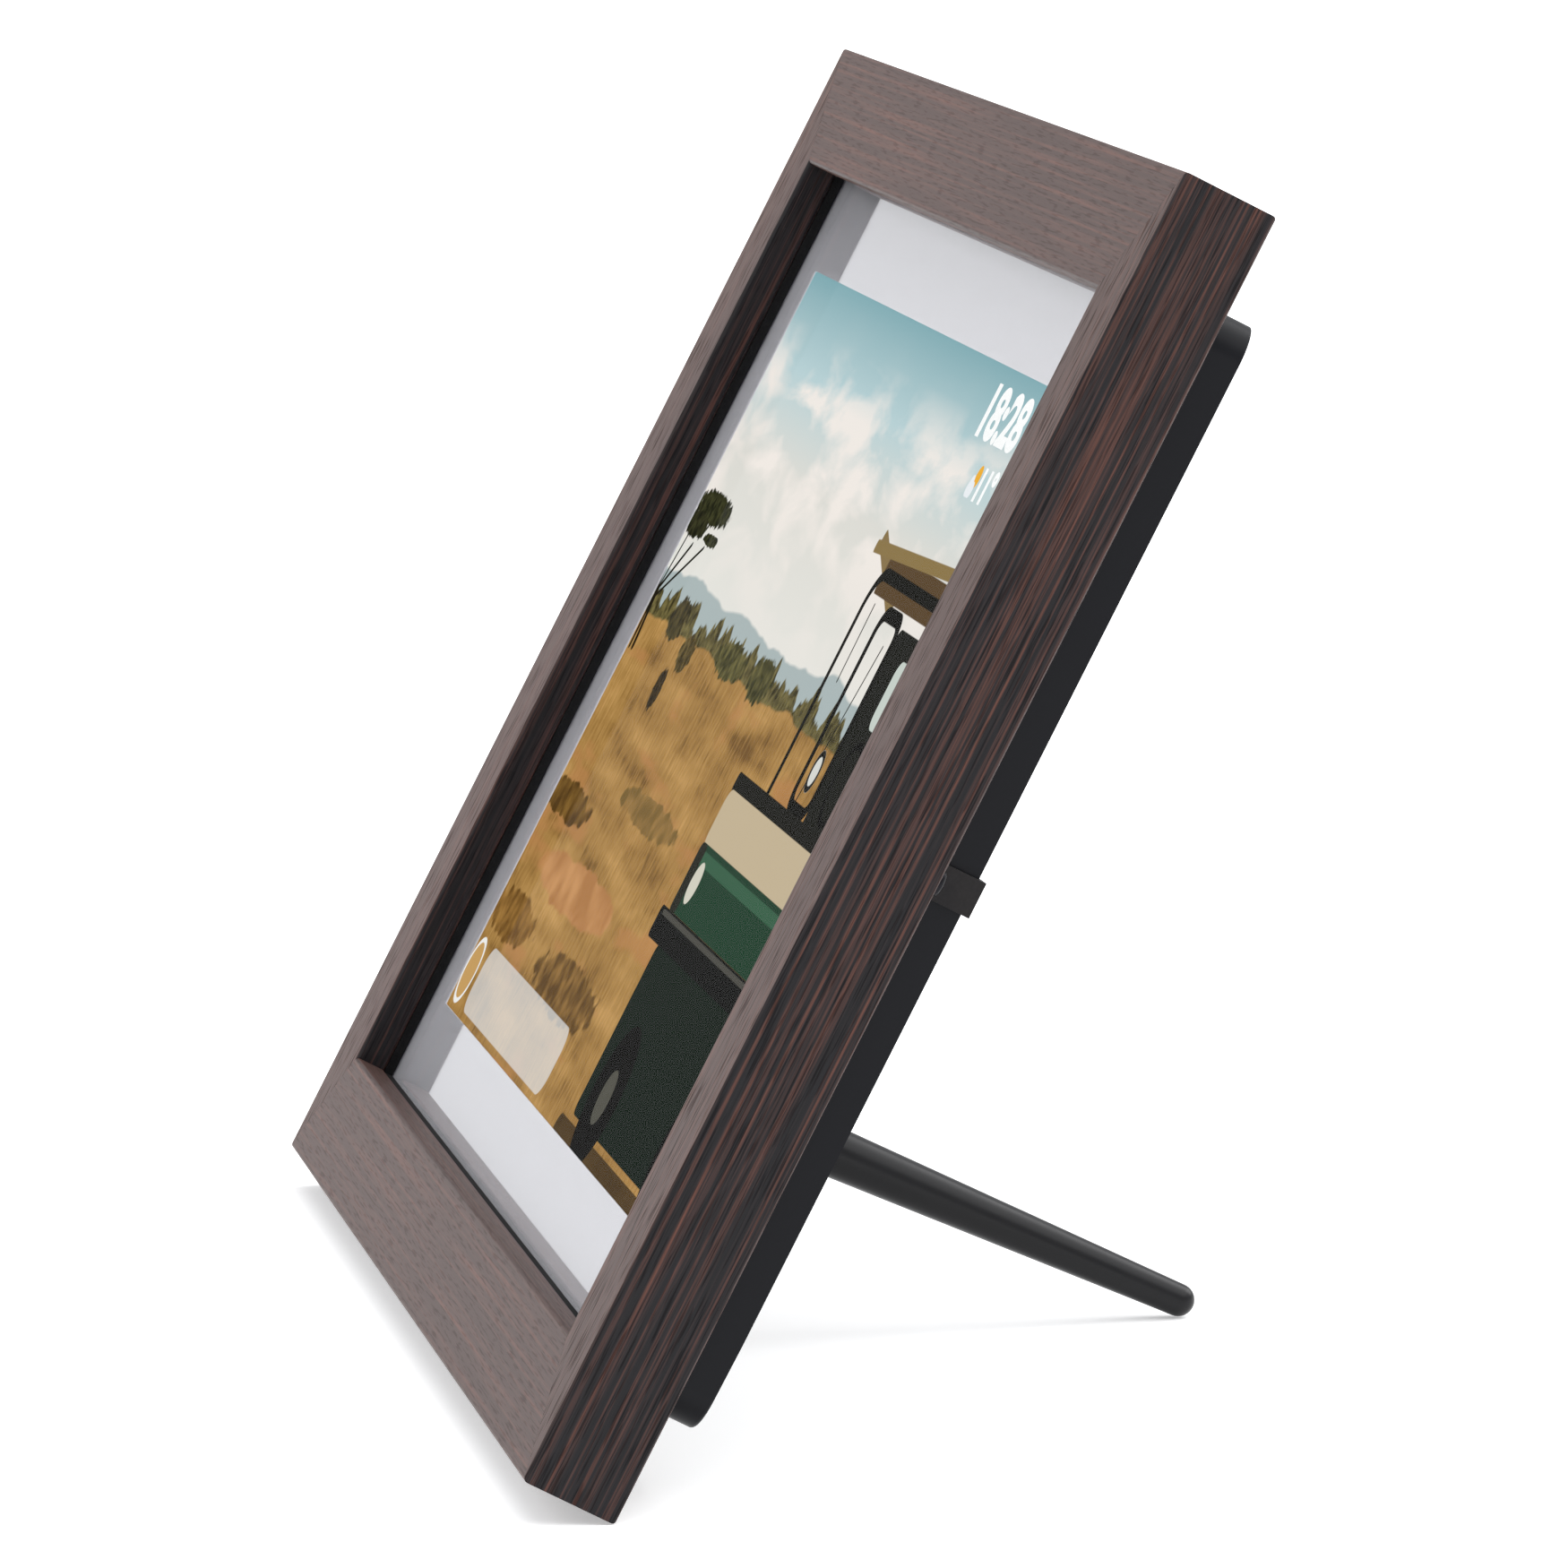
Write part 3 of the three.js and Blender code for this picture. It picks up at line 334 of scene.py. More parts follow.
@dataclass(frozen=True)
class StainedWenge(Finish):
    """Wenge, planed, stained dark and given a satin lacquer.

    The growth layers show as near-black and reddish-brown stripes along the member, with
    short open pores between them, and the lacquer greys them over at a low angle.
    """

    grain: Grain
    pore_width: float
    pore_depth: float
    specular: float = 0.24
    sheen: float = 0.22

    def draw(self, canvas: Canvas) -> None:
        """Draws stripes, fibre and pores along the grain."""
        stripes = canvas.grain(self.grain.sizes(190, 0.95, 0.95), 3, 0.1)
        bands = canvas.grain(self.grain.sizes(260, 6, 6), 2)
        fibre = canvas.grain(self.grain.sizes(14, 0.3, 0.3), 3)
        dashes = canvas.grain(self.grain.sizes(11, self.pore_width, 0.34), 1)
        mixed = canvas.add(
            "ShaderNodeMix",
            {"data_type": "FLOAT"},
            {0: 0.1, 2: stripes, 3: bands},
        )
        wood = canvas.add(
            "ShaderNodeValToRGB",
            inputs={"Fac": mixed},
            stops=[(0.4, "#0d0d11"), (0.68, "#513128"), (0.49, "#1b1618"), (0.57, "#382522")],
        )
        shade = canvas.add(
            "ShaderNodeMapRange", inputs={0: fibre, 1: 0.3, 2: 0.7, 3: 0.6, 4: 1.3}
        )
        fibred = canvas.add(
            "ShaderNodeVectorMath",
            {"operation": "SCALE"},
            {0: wood, "Scale": shade},
        )
        pores = canvas.add(
            "ShaderNodeMapRange", inputs={0: dashes, 1: 0.54, 2: 0.64, 3: 0.0, 4: self.pore_depth}
        )
        pored = canvas.add(
            "ShaderNodeMix",
            {"data_type": "RGBA"},
            {MIX_FACTOR: pores, MIX_UNDER: fibred, MIX_OVER: paint("#0c0a0b")},
        )
        canvas.tree.links.new(pored.outputs[MIX_COLOUR], canvas.surface.inputs["Base Color"])
        gloss = canvas.add(
            "ShaderNodeMapRange", inputs={0: pores, 1: 0.0, 2: 1.0, 3: 0.48, 4: 0.85}
        )
        canvas.tree.links.new(gloss.outputs[0], canvas.surface.inputs["Roughness"])
        lacquer = (("Specular IOR Level", self.specular), ("Sheen Weight", self.sheen))
        for socket, full in lacquer:
            level = canvas.add(
                "ShaderNodeMapRange", inputs={0: pores, 1: 0.0, 2: 1.0, 3: full, 4: full * 0.2}
            )
            canvas.tree.links.new(level.outputs[0], canvas.surface.inputs[socket])
        canvas.surface.inputs["Sheen Roughness"].default_value = 0.45
        canvas.surface.inputs["Sheen Tint"].default_value = paint("#cba091")
        height = canvas.add(
            "ShaderNodeMath",
            {"operation": "MULTIPLY_ADD"},
            {0: pores, 1: -0.8, 2: fibre},
        )
        canvas.relief(height.outputs[0], 0.06, 0.5)


@dataclass(frozen=True)
class WorkedMetal(Finish):
    """Metal with faint draw or rolling marks and a slightly uneven sheen."""

    colour: str
    dull: str
    roughness: float
    mark_sizes: tuple[float, float, float] = (0.4, 0.4, 8)
    metallic: float = 1.0

    def draw(self, canvas: Canvas) -> None:
        """Draws the marks, the dull patches and their sheen."""
        marks = canvas.grain(self.mark_sizes, 3)
        patches = canvas.grain((6, 6, 6), 4)
        canvas.tone(patches, self.colour, self.dull)
        canvas.gloss(marks, 0.25, self.roughness - 0.07, self.roughness + 0.09)
        canvas.surface.inputs["Metallic"].default_value = self.metallic
        canvas.relief(marks, 0.01, 0.4)


@dataclass(frozen=True)
class MouldedPlastic(Finish):
    """Plastic moulded in a spark-eroded tool, which leaves an even, very fine grain.

    The real grain is about 0.1 mm. It is drawn at `pit` so that it shows.
    """

    colour: str
    worn: str
    roughness: float
    pit: float = 0.35
    depth: float = 0.02
    specular: float = 0.5

    def draw(self, canvas: Canvas) -> None:
        """Draws the moulded grain and the faint handling marks."""
        pits = canvas.grain((self.pit, self.pit, self.pit), 2)
        flow = canvas.grain((45, 45, 45), 3)
        canvas.tone(flow, self.colour, self.worn)
        canvas.gloss(flow, 0.2, self.roughness - 0.04, self.roughness + 0.05)
        canvas.surface.inputs["Specular IOR Level"].default_value = self.specular
        canvas.relief(pits, self.depth, 0.5)


@dataclass(frozen=True)
class CellFoam(Finish):
    """Closed-cell foam or rubber, skived: dark, dead matt and finely pitted, with painted shade
    darkening the pits.
    """

    colour: str
    cell: float

    def draw(self, canvas: Canvas) -> None:
        """Draws the open cells, with painted shade darkening each pit."""
        spread = canvas.add(
            "ShaderNodeMapping",
            inputs={"Vector": canvas.local, "Scale": (1 / self.cell,) * 3},
        )
        cells = canvas.add("ShaderNodeTexVoronoi", inputs={"Vector": spread, "Scale": 1.0})
        # Painted shade: the colour goes darker towards each cell's middle, where the bump sinks
        # the pit deepest
        canvas.tone(cells.outputs["Distance"], "#070708", self.colour)
        canvas.surface.inputs["Roughness"].default_value = 0.92
        canvas.surface.inputs["Specular IOR Level"].default_value = 0.2
        canvas.relief(cells.outputs["Distance"], 0.1, 0.6)


@dataclass(frozen=True)
class CoatedPaper(Finish):
    """Paper or diffuser film, calendered: near white with a faint felt mark."""

    colour: str
    shade: str
    roughness: float = 0.85

    def draw(self, canvas: Canvas) -> None:
        """Draws the fibres and their tone."""
        fibres = canvas.grain((0.5, 0.5, 0.9), 4, 0.6)
        canvas.tone(fibres, self.colour, self.shade)
        canvas.surface.inputs["Roughness"].default_value = self.roughness
        canvas.relief(fibres, 0.02, 0.3)


@dataclass(frozen=True)
class FloatGlass(Finish):
    """Clear float glass, fire-polished: sharp reflections of what stands beside it.

    Over the lit area it carries an anti-reflection film, so the picture keeps its blacks.
    """

    film_middle: tuple[float, float, float]
    film_half: tuple[float, float, float]

    def draw(self, canvas: Canvas) -> None:
        """Draws bare glass round the film, and lets lamps through both."""
        from_middle = canvas.add(
            "ShaderNodeVectorMath",
            {"operation": "SUBTRACT"},
            {0: canvas.local, 1: self.film_middle},
        )
        away = canvas.add("ShaderNodeVectorMath", {"operation": "ABSOLUTE"}, {0: from_middle})
        share = canvas.add(
            "ShaderNodeVectorMath", {"operation": "DIVIDE"}, {0: away, 1: self.film_half}
        )
        parts = canvas.add("ShaderNodeSeparateXYZ", inputs={0: share})
        furthest = canvas.add(
            "ShaderNodeMath",
            {"operation": "MAXIMUM"},
            {0: parts.outputs["X"], 1: parts.outputs["Z"]},
        )
        outside = canvas.add(
            "ShaderNodeMath", {"operation": "GREATER_THAN"}, {0: furthest, 1: 1.0}
        )
        bare = canvas.add(
            "ShaderNodeBsdfGlass",
            inputs={"Color": paint("#fdfdfd"), "Roughness": 0.0, "IOR": 1.5},
        )
        film = canvas.add(
            "ShaderNodeBsdfRefraction",
            inputs={"Color": paint("#fdfdfd"), "Roughness": 0.0, "IOR": 1.5},
        )
        coated = canvas.add("ShaderNodeMixShader", inputs={0: 0.03, 1: film, 2: bare})
        pane = canvas.add("ShaderNodeMixShader", inputs={0: outside, 1: coated, 2: bare})
        path = canvas.add("ShaderNodeLightPath")
        clear = canvas.add("ShaderNodeBsdfTransparent", inputs={"Color": paint("#f7f7f8")})
        lit = canvas.add(
            "ShaderNodeMixShader",
            inputs={0: path.outputs["Is Shadow Ray"], 1: pane, 2: clear},
        )
        canvas.tree.links.new(lit.outputs[0], canvas.output.inputs["Surface"])
        canvas.tree.nodes.remove(canvas.surface)


@dataclass(frozen=True)
class CircuitLaminate(Finish):
    """Glass-fibre laminate under solder mask: green, with raised copper traces."""

    colour: str
    trace: str
    pitch: float = 1.3

    def draw(self, canvas: Canvas) -> None:
        """Draws traces on a square grid, with a slight waviness of the mask."""
        spread = canvas.add(
            "ShaderNodeMapping",
            inputs={"Vector": canvas.local, "Scale": (1 / self.pitch,) * 3},
        )
        bricks = canvas.add(
            "ShaderNodeTexVoronoi",
            {"distance": "CHEBYCHEV", "feature": "F1"},
            {"Vector": spread, "Scale": 1.0, "Randomness": 0.55},
        )
        lines = canvas.add(
            "ShaderNodeMapRange",
            inputs={0: bricks.outputs["Distance"], 1: 0.36, 2: 0.42, 3: 0.0, 4: 1.0},
        )
        tone = canvas.add(
            "ShaderNodeMix",
            {"data_type": "RGBA"},
            {MIX_FACTOR: lines, MIX_UNDER: paint(self.colour), MIX_OVER: paint(self.trace)},
        )
        canvas.tree.links.new(tone.outputs[MIX_COLOUR], canvas.surface.inputs["Base Color"])
        canvas.surface.inputs["Roughness"].default_value = 0.38
        canvas.relief(lines.outputs[0], 0.04, 0.6)


@dataclass(frozen=True)
class SatinPaint(Finish):
    """Black paint sprayed and baked on turned metal: a satin gloss with slight orange peel."""

    colour: str
    roughness: float
    peel: float = 1.6

    def draw(self, canvas: Canvas) -> None:
        """Draws the orange peel and a few dusty patches."""
        peel = canvas.grain((self.peel,) * 3, 2)
        dust = canvas.grain((9, 9, 9), 5)
        canvas.tone(dust, self.colour, "#101013")
        canvas.gloss(dust, 0.2, self.roughness - 0.03, self.roughness + 0.07)
        canvas.surface.inputs["Specular IOR Level"].default_value = 0.28
        canvas.relief(peel, 0.02, 0.35)


@dataclass(frozen=True)
class Glow(Finish):
    """Lit pixels of one colour, a little uneven as a backlight is."""

    colour: str
    strength: float

    def draw(self, canvas: Canvas) -> None:
        """Draws the light and its unevenness."""
        uneven = canvas.grain((60, 60, 60), 1)
        level = canvas.add(
            "ShaderNodeMapRange", inputs={0: uneven, 1: 0.3, 2: 0.7, 3: 0.97, 4: 1.0}
        )
        light = canvas.add(
            "ShaderNodeVectorMath",
            {"operation": "SCALE"},
            {0: paint(self.colour)[:3], "Scale": level},
        )
        canvas.surface.inputs["Base Color"].default_value = paint("#050505")
        canvas.surface.inputs["Roughness"].default_value = 0.5
        canvas.tree.links.new(light.outputs[0], canvas.surface.inputs["Emission Color"])
        canvas.surface.inputs["Emission Strength"].default_value = self.strength


@dataclass(frozen=True)
class Clump:
    """A mass of leaves, grass or rock in the picture: an ellipse with a ragged edge."""

    x: float
    z: float
    half_width: float
    half_height: float
    ragged: float
    leaf: float
    dark: str
    light: str


@dataclass(frozen=True)
class Badge:
    """A plain shape on the screen: a box with round corners, or a disc.

    `turn` tips it, in degrees. `line` draws only its outline, that many millimetres wide.
    """

    x: float
    z: float
    half_width: float
    half_height: float
    radius: float
    colour: str
    cover: float = 1.0
    turn: float = 0.0
    line: float = 0.0


CLUMPS = (
    # The crown of the acacia on the left
    Clump(-150.3, 183.7, 25.0, 4.2, 0.5, 2.5, "#1f2114", "#454629"),
    Clump(-162.0, 178.7, 17.0, 3.4, 0.55, 2.5, "#1c1d12", "#3d3d25"),
    Clump(-135.3, 177.1, 10.0, 1.6, 0.55, 2.5, "#1f2114", "#454629"),
    # Bushes before the tree line
    Clump(-126.0, 157.7, 11.0, 5.5, 0.5, 3.0, "#2f2a17", "#5c5230"),
    Clump(-110.3, 141.7, 5.0, 5.5, 0.4, 2.0, "#231d11", "#4a3b22"),
    Clump(-98.0, 152.4, 9.0, 5.0, 0.5, 3.0, "#3a3119", "#6b5b33"),
    Clump(-42.0, 157.1, 20.0, 4.5, 0.5, 3.0, "#3c3a20", "#706a3e"),
    Clump(1.4, 157.7, 14.0, 5.5, 0.5, 3.0, "#36351d", "#68633a"),
    # Darker and paler drifts of grass, and the bare track
    Clump(-148.6, 107.7, 34.0, 4.5, 0.5, 6.0, "#553d1c", "#84632f"),
    Clump(-45.3, 117.7, 40.0, 4.0, 0.5, 6.0, "#7a6133", "#9c7a45"),
    Clump(-85.3, 92.7, 62.0, 6.0, 0.35, 10.0, "#b07c4a", "#cb9661"),
    Clump(-145.3, 77.7, 34.0, 6.0, 0.45, 6.0, "#6b4b22", "#a2793e"),
    Clump(-42.0, 74.4, 46.0, 6.5, 0.45, 5.0, "#5f4522", "#94703c"),
)

BRANCHES = (
    Badge(-167.3, 153.1, 1.3, 8.4, 1.3, "#1f1b12", turn=18.0),
    Badge(-170.0, 152.2, 1.0, 7.2, 1.0, "#1f1b12", turn=5.0),
    Badge(-162.3, 167.4, 0.8, 10.4, 0.8, "#1f1b12", turn=-48.0),
    Badge(-153.6, 167.1, 0.6, 17.0, 0.6, "#1f1b12", turn=-62.0),
    Badge(-167.8, 169.1, 0.7, 9.0, 0.7, "#1f1b12", turn=-16.0),
    Badge(-173.0, 166.9, 0.8, 7.9, 0.8, "#1f1b12", turn=17.0),
)

# An open safari car, from its roof down to its wheels
CAR = (
    Badge(76.7, 193.0, 23.5, 2.0, 1.0, "#8a744a", turn=-16),
    Badge(130.7, 192.9, 58.0, 5.0, 1.0, "#5a452a"),
    Badge(120.7, 199.3, 70.0, 1.6, 1.0, "#8d7748", turn=2),
    Badge(154.7, 160.9, 37.0, 24.0, 3.0, "#1c1d18"),
    Badge(150.7, 171.4, 17.0, 8.0, 4.0, "#c9d3cb"),
    Badge(80.5, 176.9, 0.5, 9.5, 0.5, "#22221c", turn=3),
    Badge(156.7, 146.9, 90.0, 47.5, 11.0, "#14140f", line=3.2),
    Badge(105.3, 163.0, 13.4, 24.7, 7.0, "#12120e", line=3.6),
    Badge(104.7, 160.4, 0.5, 20.0, 0.5, "#22221c", turn=-14),
    Badge(136.4, 150.4, 10.0, 10.0, 10.0, "#0c0c0a", line=1.8),
    Badge(104.7, 149.4, 5.0, 5.0, 5.0, "#d9dad4"),
    Badge(104.7, 149.4, 5.0, 5.0, 5.0, "#1b1b17", line=1.6),
    Badge(104.7, 51.4, 84.0, 3.4, 3.4, "#2b2113", 0.85),
    Badge(104.7, 136.9, 76.0, 2.4, 1.5, "#1b1b16"),
    Badge(103.7, 127.9, 76.0, 7.2, 4.0, "#c6b596"),
    Badge(104.7, 113.6, 78.0, 8.4, 3.0, "#20402d"),
    Badge(104.7, 118.9, 74.0, 1.6, 1.6, "#3f6b50", 0.7),
    Badge(103.7, 77.4, 70.0, 21.0, 3.0, "#152018"),
    Badge(101.7, 101.4, 84.0, 3.9, 1.8, "#121311"),
    Badge(101.7, 104.0, 80.0, 0.7, 0.7, "#54534c", 0.8),
    Badge(30.7, 113.4, 4.0, 8.5, 2.0, "#26271f"),
    Badge(39.7, 113.4, 5.0, 5.0, 5.0, "#d4d2c2"),
    Badge(58.7, 64.4, 17.0, 17.0, 17.0, "#0e0e0c"),
    Badge(58.7, 64.4, 6.5, 6.5, 6.5, "#54534a"),
    Badge(154.7, 64.4, 17.0, 17.0, 17.0, "#0e0e0c"),
    Badge(154.7, 64.4, 6.5, 6.5, 6.5, "#54534a"),
)

BADGES = (
    Badge(-80.9, 60.9, 69.8, 8.4, 6.0, "#eef0ee", 0.55),
    Badge(-163.7, 60.8, 8.6, 8.6, 8.6, "#f2f2ee", 1.0),
    Badge(-163.7, 60.8, 7.2, 7.2, 7.2, "#c9a063", 1.0),
    Badge(118.6, 220.6, 2.6, 2.6, 2.6, "#f2b233", 1.0),
    Badge(115.6, 217.4, 3.6, 1.9, 1.9, "#eef3f6", 1.0),
    Badge(114.8, 218.8, 1.9, 1.9, 1.9, "#eef3f6", 1.0),
)


@dataclass(frozen=True)
class LitScreen(Finish):
    """A lit display: a savanna under a clear sky, drawn from noise, with plain badges.

    Its dots are about 0.18 mm, too fine to show, so they are left out.
    """

    horizon: float
    top: float
    strength: float

    def over(
        self,
        canvas: Canvas,
        picture: bpy.types.NodeSocket,
        mask: bpy.types.NodeSocket,
        colour: object,
    ) -> bpy.types.NodeSocket:
        """Lays a colour over the picture where a mask is 1.

        Args:
            canvas: The material.
            picture: The picture so far.
            mask: Where the colour goes, from 0 to 1.
            colour: A colour, or a socket that gives one.

        Returns:
            The new picture.
        """
        laid = canvas.add(
            "ShaderNodeMix",
            {"data_type": "RGBA"},
            {MIX_FACTOR: mask, MIX_UNDER: picture, MIX_OVER: colour},
        )
        return laid.outputs[MIX_COLOUR]

    def below(
        self,
        canvas: Canvas,
        height: bpy.types.NodeSocket,
        level: float,
        rise: float,
        bump: float,
    ) -> bpy.types.NodeSocket:
        """A mask of everything under an uneven skyline.

        Args:
            canvas: The material.
            height: The height in the picture, in millimetres.
            level: The skyline's mean height.
            rise: How far it goes up and down.
            bump: The width of its bumps.

        Returns:
            The mask.
        """
        ridge = canvas.grain((bump, 50, FAR), 3)
        skyline = canvas.add(
            "ShaderNodeMapRange",
            inputs={0: ridge, 1: 0.25, 2: 0.75, 3: level - rise, 4: level + rise},
        )
        gap = canvas.add("ShaderNodeMath", {"operation": "SUBTRACT"}, {0: skyline, 1: height})
        mask = canvas.add("ShaderNodeMapRange", inputs={0: gap, 1: -0.3, 2: 0.5, 3: 0.0, 4: 1.0})
        return mask.outputs[0]

    def sky(self, canvas: Canvas, height: bpy.types.NodeSocket) -> bpy.types.NodeSocket:
        """Draws the sky and its clouds.

        Args:
            canvas: The material.
            height: The height in the picture, in millimetres.

        Returns:
            The sky's colour.
        """
        share = canvas.add(
            "ShaderNodeMapRange", inputs={0: height, 1: self.horizon, 2: self.top, 3: 0.0, 4: 1.0}
        )
        blue = canvas.add(
            "ShaderNodeValToRGB",
            inputs={"Fac": share},
            stops=[(0.0, "#e9e8e1"), (1.0, "#83aeb6"), (0.45, "#e0dfd8"), (0.72, "#bad4d8")],
        )
        billows = canvas.grain((46, 50, 15), 6, 0.3)
        thick = canvas.add(
            "ShaderNodeMapRange", inputs={0: billows, 1: 0.44, 2: 0.6, 3: 0.0, 4: 0.95}
        )
        band = canvas.add(
            "ShaderNodeValToRGB",
            inputs={"Fac": share},
            stops=[
                (0.0, "#777777"),
                (1.0, "#000000"),
                (0.4, "#ffffff"),
                (0.68, "#ffffff"),
                (0.86, "#2a2a2a"),
            ],
        )
        mask = canvas.add("ShaderNodeMath", {"operation": "MULTIPLY"}, {0: thick, 1: band})
        return self.over(canvas, blue.outputs[0], mask.outputs[0], paint("#f6efe8"))

    def ground(self, canvas: Canvas) -> bpy.types.NodeSocket:
        """Draws the dry grass and the bare earth.

        Args:
            canvas: The material.

        Returns:
            The ground's colour.
        """
        drifts = canvas.grain((46, 50, 9), 4)
        blades = canvas.grain((1.1, 50, 7), 3)
        mixed = canvas.add("ShaderNodeMix", {"data_type": "FLOAT"}, {0: 0.4, 2: drifts, 3: blades})
        grass = canvas.add(
            "ShaderNodeValToRGB",
            inputs={"Fac": mixed},
            stops=[(0.34, "#72532a"), (0.66, "#c99e60"), (0.45, "#a07a42"), (0.55, "#b38b4f")],
        )
        bare = canvas.grain((60, 50, 11), 3)
        patches = canvas.add(
            "ShaderNodeMapRange", inputs={0: bare, 1: 0.57, 2: 0.66, 3: 0.0, 4: 0.75}
        )
        return self.over(canvas, grass.outputs[0], patches.outputs[0], paint("#b98550"))

    def clump(
        self, canvas: Canvas, picture: bpy.types.NodeSocket, clump: Clump
    ) -> bpy.types.NodeSocket:
        """Draws one clump over the picture.

        Args:
            canvas: The material.
            picture: The picture so far.
            clump: What to draw.

        Returns:
            The new picture.
        """
        offset = canvas.add(
            "ShaderNodeVectorMath",
            {"operation": "SUBTRACT"},
            {0: canvas.local, 1: (clump.x, 0, clump.z)},
        )
        share = canvas.add(
            "ShaderNodeVectorMath",
            {"operation": "MULTIPLY"},
            {0: offset, 1: (1 / clump.half_width, 0, 1 / clump.half_height)},
        )
        reach = canvas.add("ShaderNodeVectorMath", {"operation": "LENGTH"}, {0: share})
        leaves = canvas.grain((clump.leaf, 50, clump.leaf), 5)
        edge = canvas.add(
            "ShaderNodeMath",
            {"operation": "MULTIPLY_ADD"},
            {0: leaves, 1: 2 * clump.ragged, 2: reach.outputs["Value"]},
        )
        rim = 1 + clump.ragged
        mask = canvas.add(
            "ShaderNodeMapRange", inputs={0: edge, 1: rim - 0.06, 2: rim + 0.05, 3: 1.0, 4: 0.0}
        )
        tone = canvas.add(
            "ShaderNodeValToRGB",
            inputs={"Fac": leaves},
            stops=[(0.38, clump.dark), (0.66, clump.light)],
        )
        return self.over(canvas, picture, mask.outputs[0], tone.outputs[0])

    def badge(
        self, canvas: Canvas, picture: bpy.types.NodeSocket, badge: Badge
    ) -> bpy.types.NodeSocket:
        """Draws one badge over the picture.

        Args:
            canvas: The material.
            picture: The picture so far.
            badge: What to draw.

        Returns:
            The new picture.
        """
        core = (badge.half_width - badge.radius, FAR, badge.half_height - badge.radius)
        offset = canvas.add(
            "ShaderNodeVectorMath",
            {"operation": "SUBTRACT"},
            {0: canvas.local, 1: (badge.x, 0, badge.z)},
        )
        level = canvas.add(
            "ShaderNodeVectorRotate",
            {"rotation_type": "Y_AXIS"},
            {"Vector": offset, "Angle": math.radians(badge.turn)},
        )
        away = canvas.add("ShaderNodeVectorMath", {"operation": "ABSOLUTE"}, {0: level})
        past = canvas.add("ShaderNodeVectorMath", {"operation": "SUBTRACT"}, {0: away, 1: core})
        outside = canvas.add(
            "ShaderNodeVectorMath", {"operation": "MAXIMUM"}, {0: past, 1: (0, 0, 0)}
        )
        reach = canvas.add("ShaderNodeVectorMath", {"operation": "LENGTH"}, {0: outside})
        limit, distance = badge.radius, reach.outputs["Value"]
        if badge.line:
            limit = badge.line / 2
            inset = canvas.add(
                "ShaderNodeMath",
                {"operation": "SUBTRACT"},
                {0: distance, 1: badge.radius - limit},
            )
            outline = canvas.add("ShaderNodeMath", {"operation": "ABSOLUTE"}, {0: inset})
            distance = outline.outputs[0]
        mask = canvas.add(
            "ShaderNodeMapRange",
            inputs={0: distance, 1: limit - 0.15, 2: limit + 0.1, 3: badge.cover, 4: 0.0},
        )
        return self.over(canvas, picture, mask.outputs[0], paint(badge.colour))

    def draw(self, canvas: Canvas) -> None:
        """Draws the picture from the back to the front, and lights it."""
        parts = canvas.add("ShaderNodeSeparateXYZ", inputs={0: canvas.local})
        height = parts.outputs["Z"]
        picture = self.sky(canvas, height)
        hills = self.below(canvas, height, self.horizon + 2.5, 3.5, 50)
        picture = self.over(canvas, picture, hills, paint("#adbaba"))
        trees = self.below(canvas, height, self.horizon - 3, 6, 8)
        leaves = canvas.grain((3, 50, 3), 4)
        green = canvas.add(
            "ShaderNodeValToRGB",
            inputs={"Fac": leaves},
            stops=[(0.35, "#3a351f"), (0.65, "#7b7145")],
        )
        picture = self.over(canvas, picture, trees, green.outputs[0])
        near = self.below(canvas, height, self.horizon - 9, 2, 30)
        picture = self.over(canvas, picture, near, self.ground(canvas))
        for badge in BRANCHES:
            picture = self.badge(canvas, picture, badge)
        for clump in CLUMPS:
            picture = self.clump(canvas, picture, clump)
        for badge in (*CAR, *BADGES):
            picture = self.badge(canvas, picture, badge)
        canvas.tree.links.new(picture, canvas.surface.inputs["Emission Color"])
        canvas.surface.inputs["Emission Strength"].default_value = self.strength
        canvas.surface.inputs["Base Color"].default_value = paint("#050505")
        canvas.surface.inputs["Roughness"].default_value = 0.55
        canvas.surface.inputs["Specular IOR Level"].default_value = 0.0


# ------------------------------------------------------------------ mesh building


EdgeTest = Callable[[bmesh.types.BMEdge], bool]


def copied_shell(node: str, placement: Placement) -> bmesh.types.BMesh:
    """Copies a CAD node's mesh, joins its loose triangles and clears its flat faces.

    Args:
        node: The CAD node's name.
        placement: The axes that the copy is wanted in.

    Returns:
        The copy, in millimetres.
    """
    shell = bmesh.new()
    shell.from_mesh(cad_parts[node].data)
    bmesh.ops.transform(shell, matrix=placement.matrix.inverted(), verts=shell.verts)
    bmesh.ops.remove_doubles(shell, verts=shell.verts, dist=JOIN_DISTANCE)
    bmesh.ops.dissolve_limit(
        shell, angle_limit=FLAT_ANGLE, verts=shell.verts, edges=shell.edges
    )
    return shell


def soften(shell: bmesh.types.BMesh, test: EdgeTest, radius: float, segments: int) -> None:
    """Rounds the edges that pass a test.

    Args:
        shell: The mesh.
        test: Says which edges are rounded.
        radius: Size of the rounding, in millimetres.
        segments: How many faces make it.
    """
    edges = [edge for edge in shell.edges if len(edge.link_faces) == 2 and test(edge)]
    bmesh.ops.bevel(
        shell,
        geom=edges,
        offset=radius,
        segments=segments,
        profile=0.5,
        affect="EDGES",
        material=-1,
        clamp_overlap=True,
    )


def is_arris(edge: bmesh.types.BMEdge) -> bool:
    """True where two faces meet at a clear outward angle."""
    return edge.is_convex and edge.calc_face_angle(0) > ARRIS_ANGLE


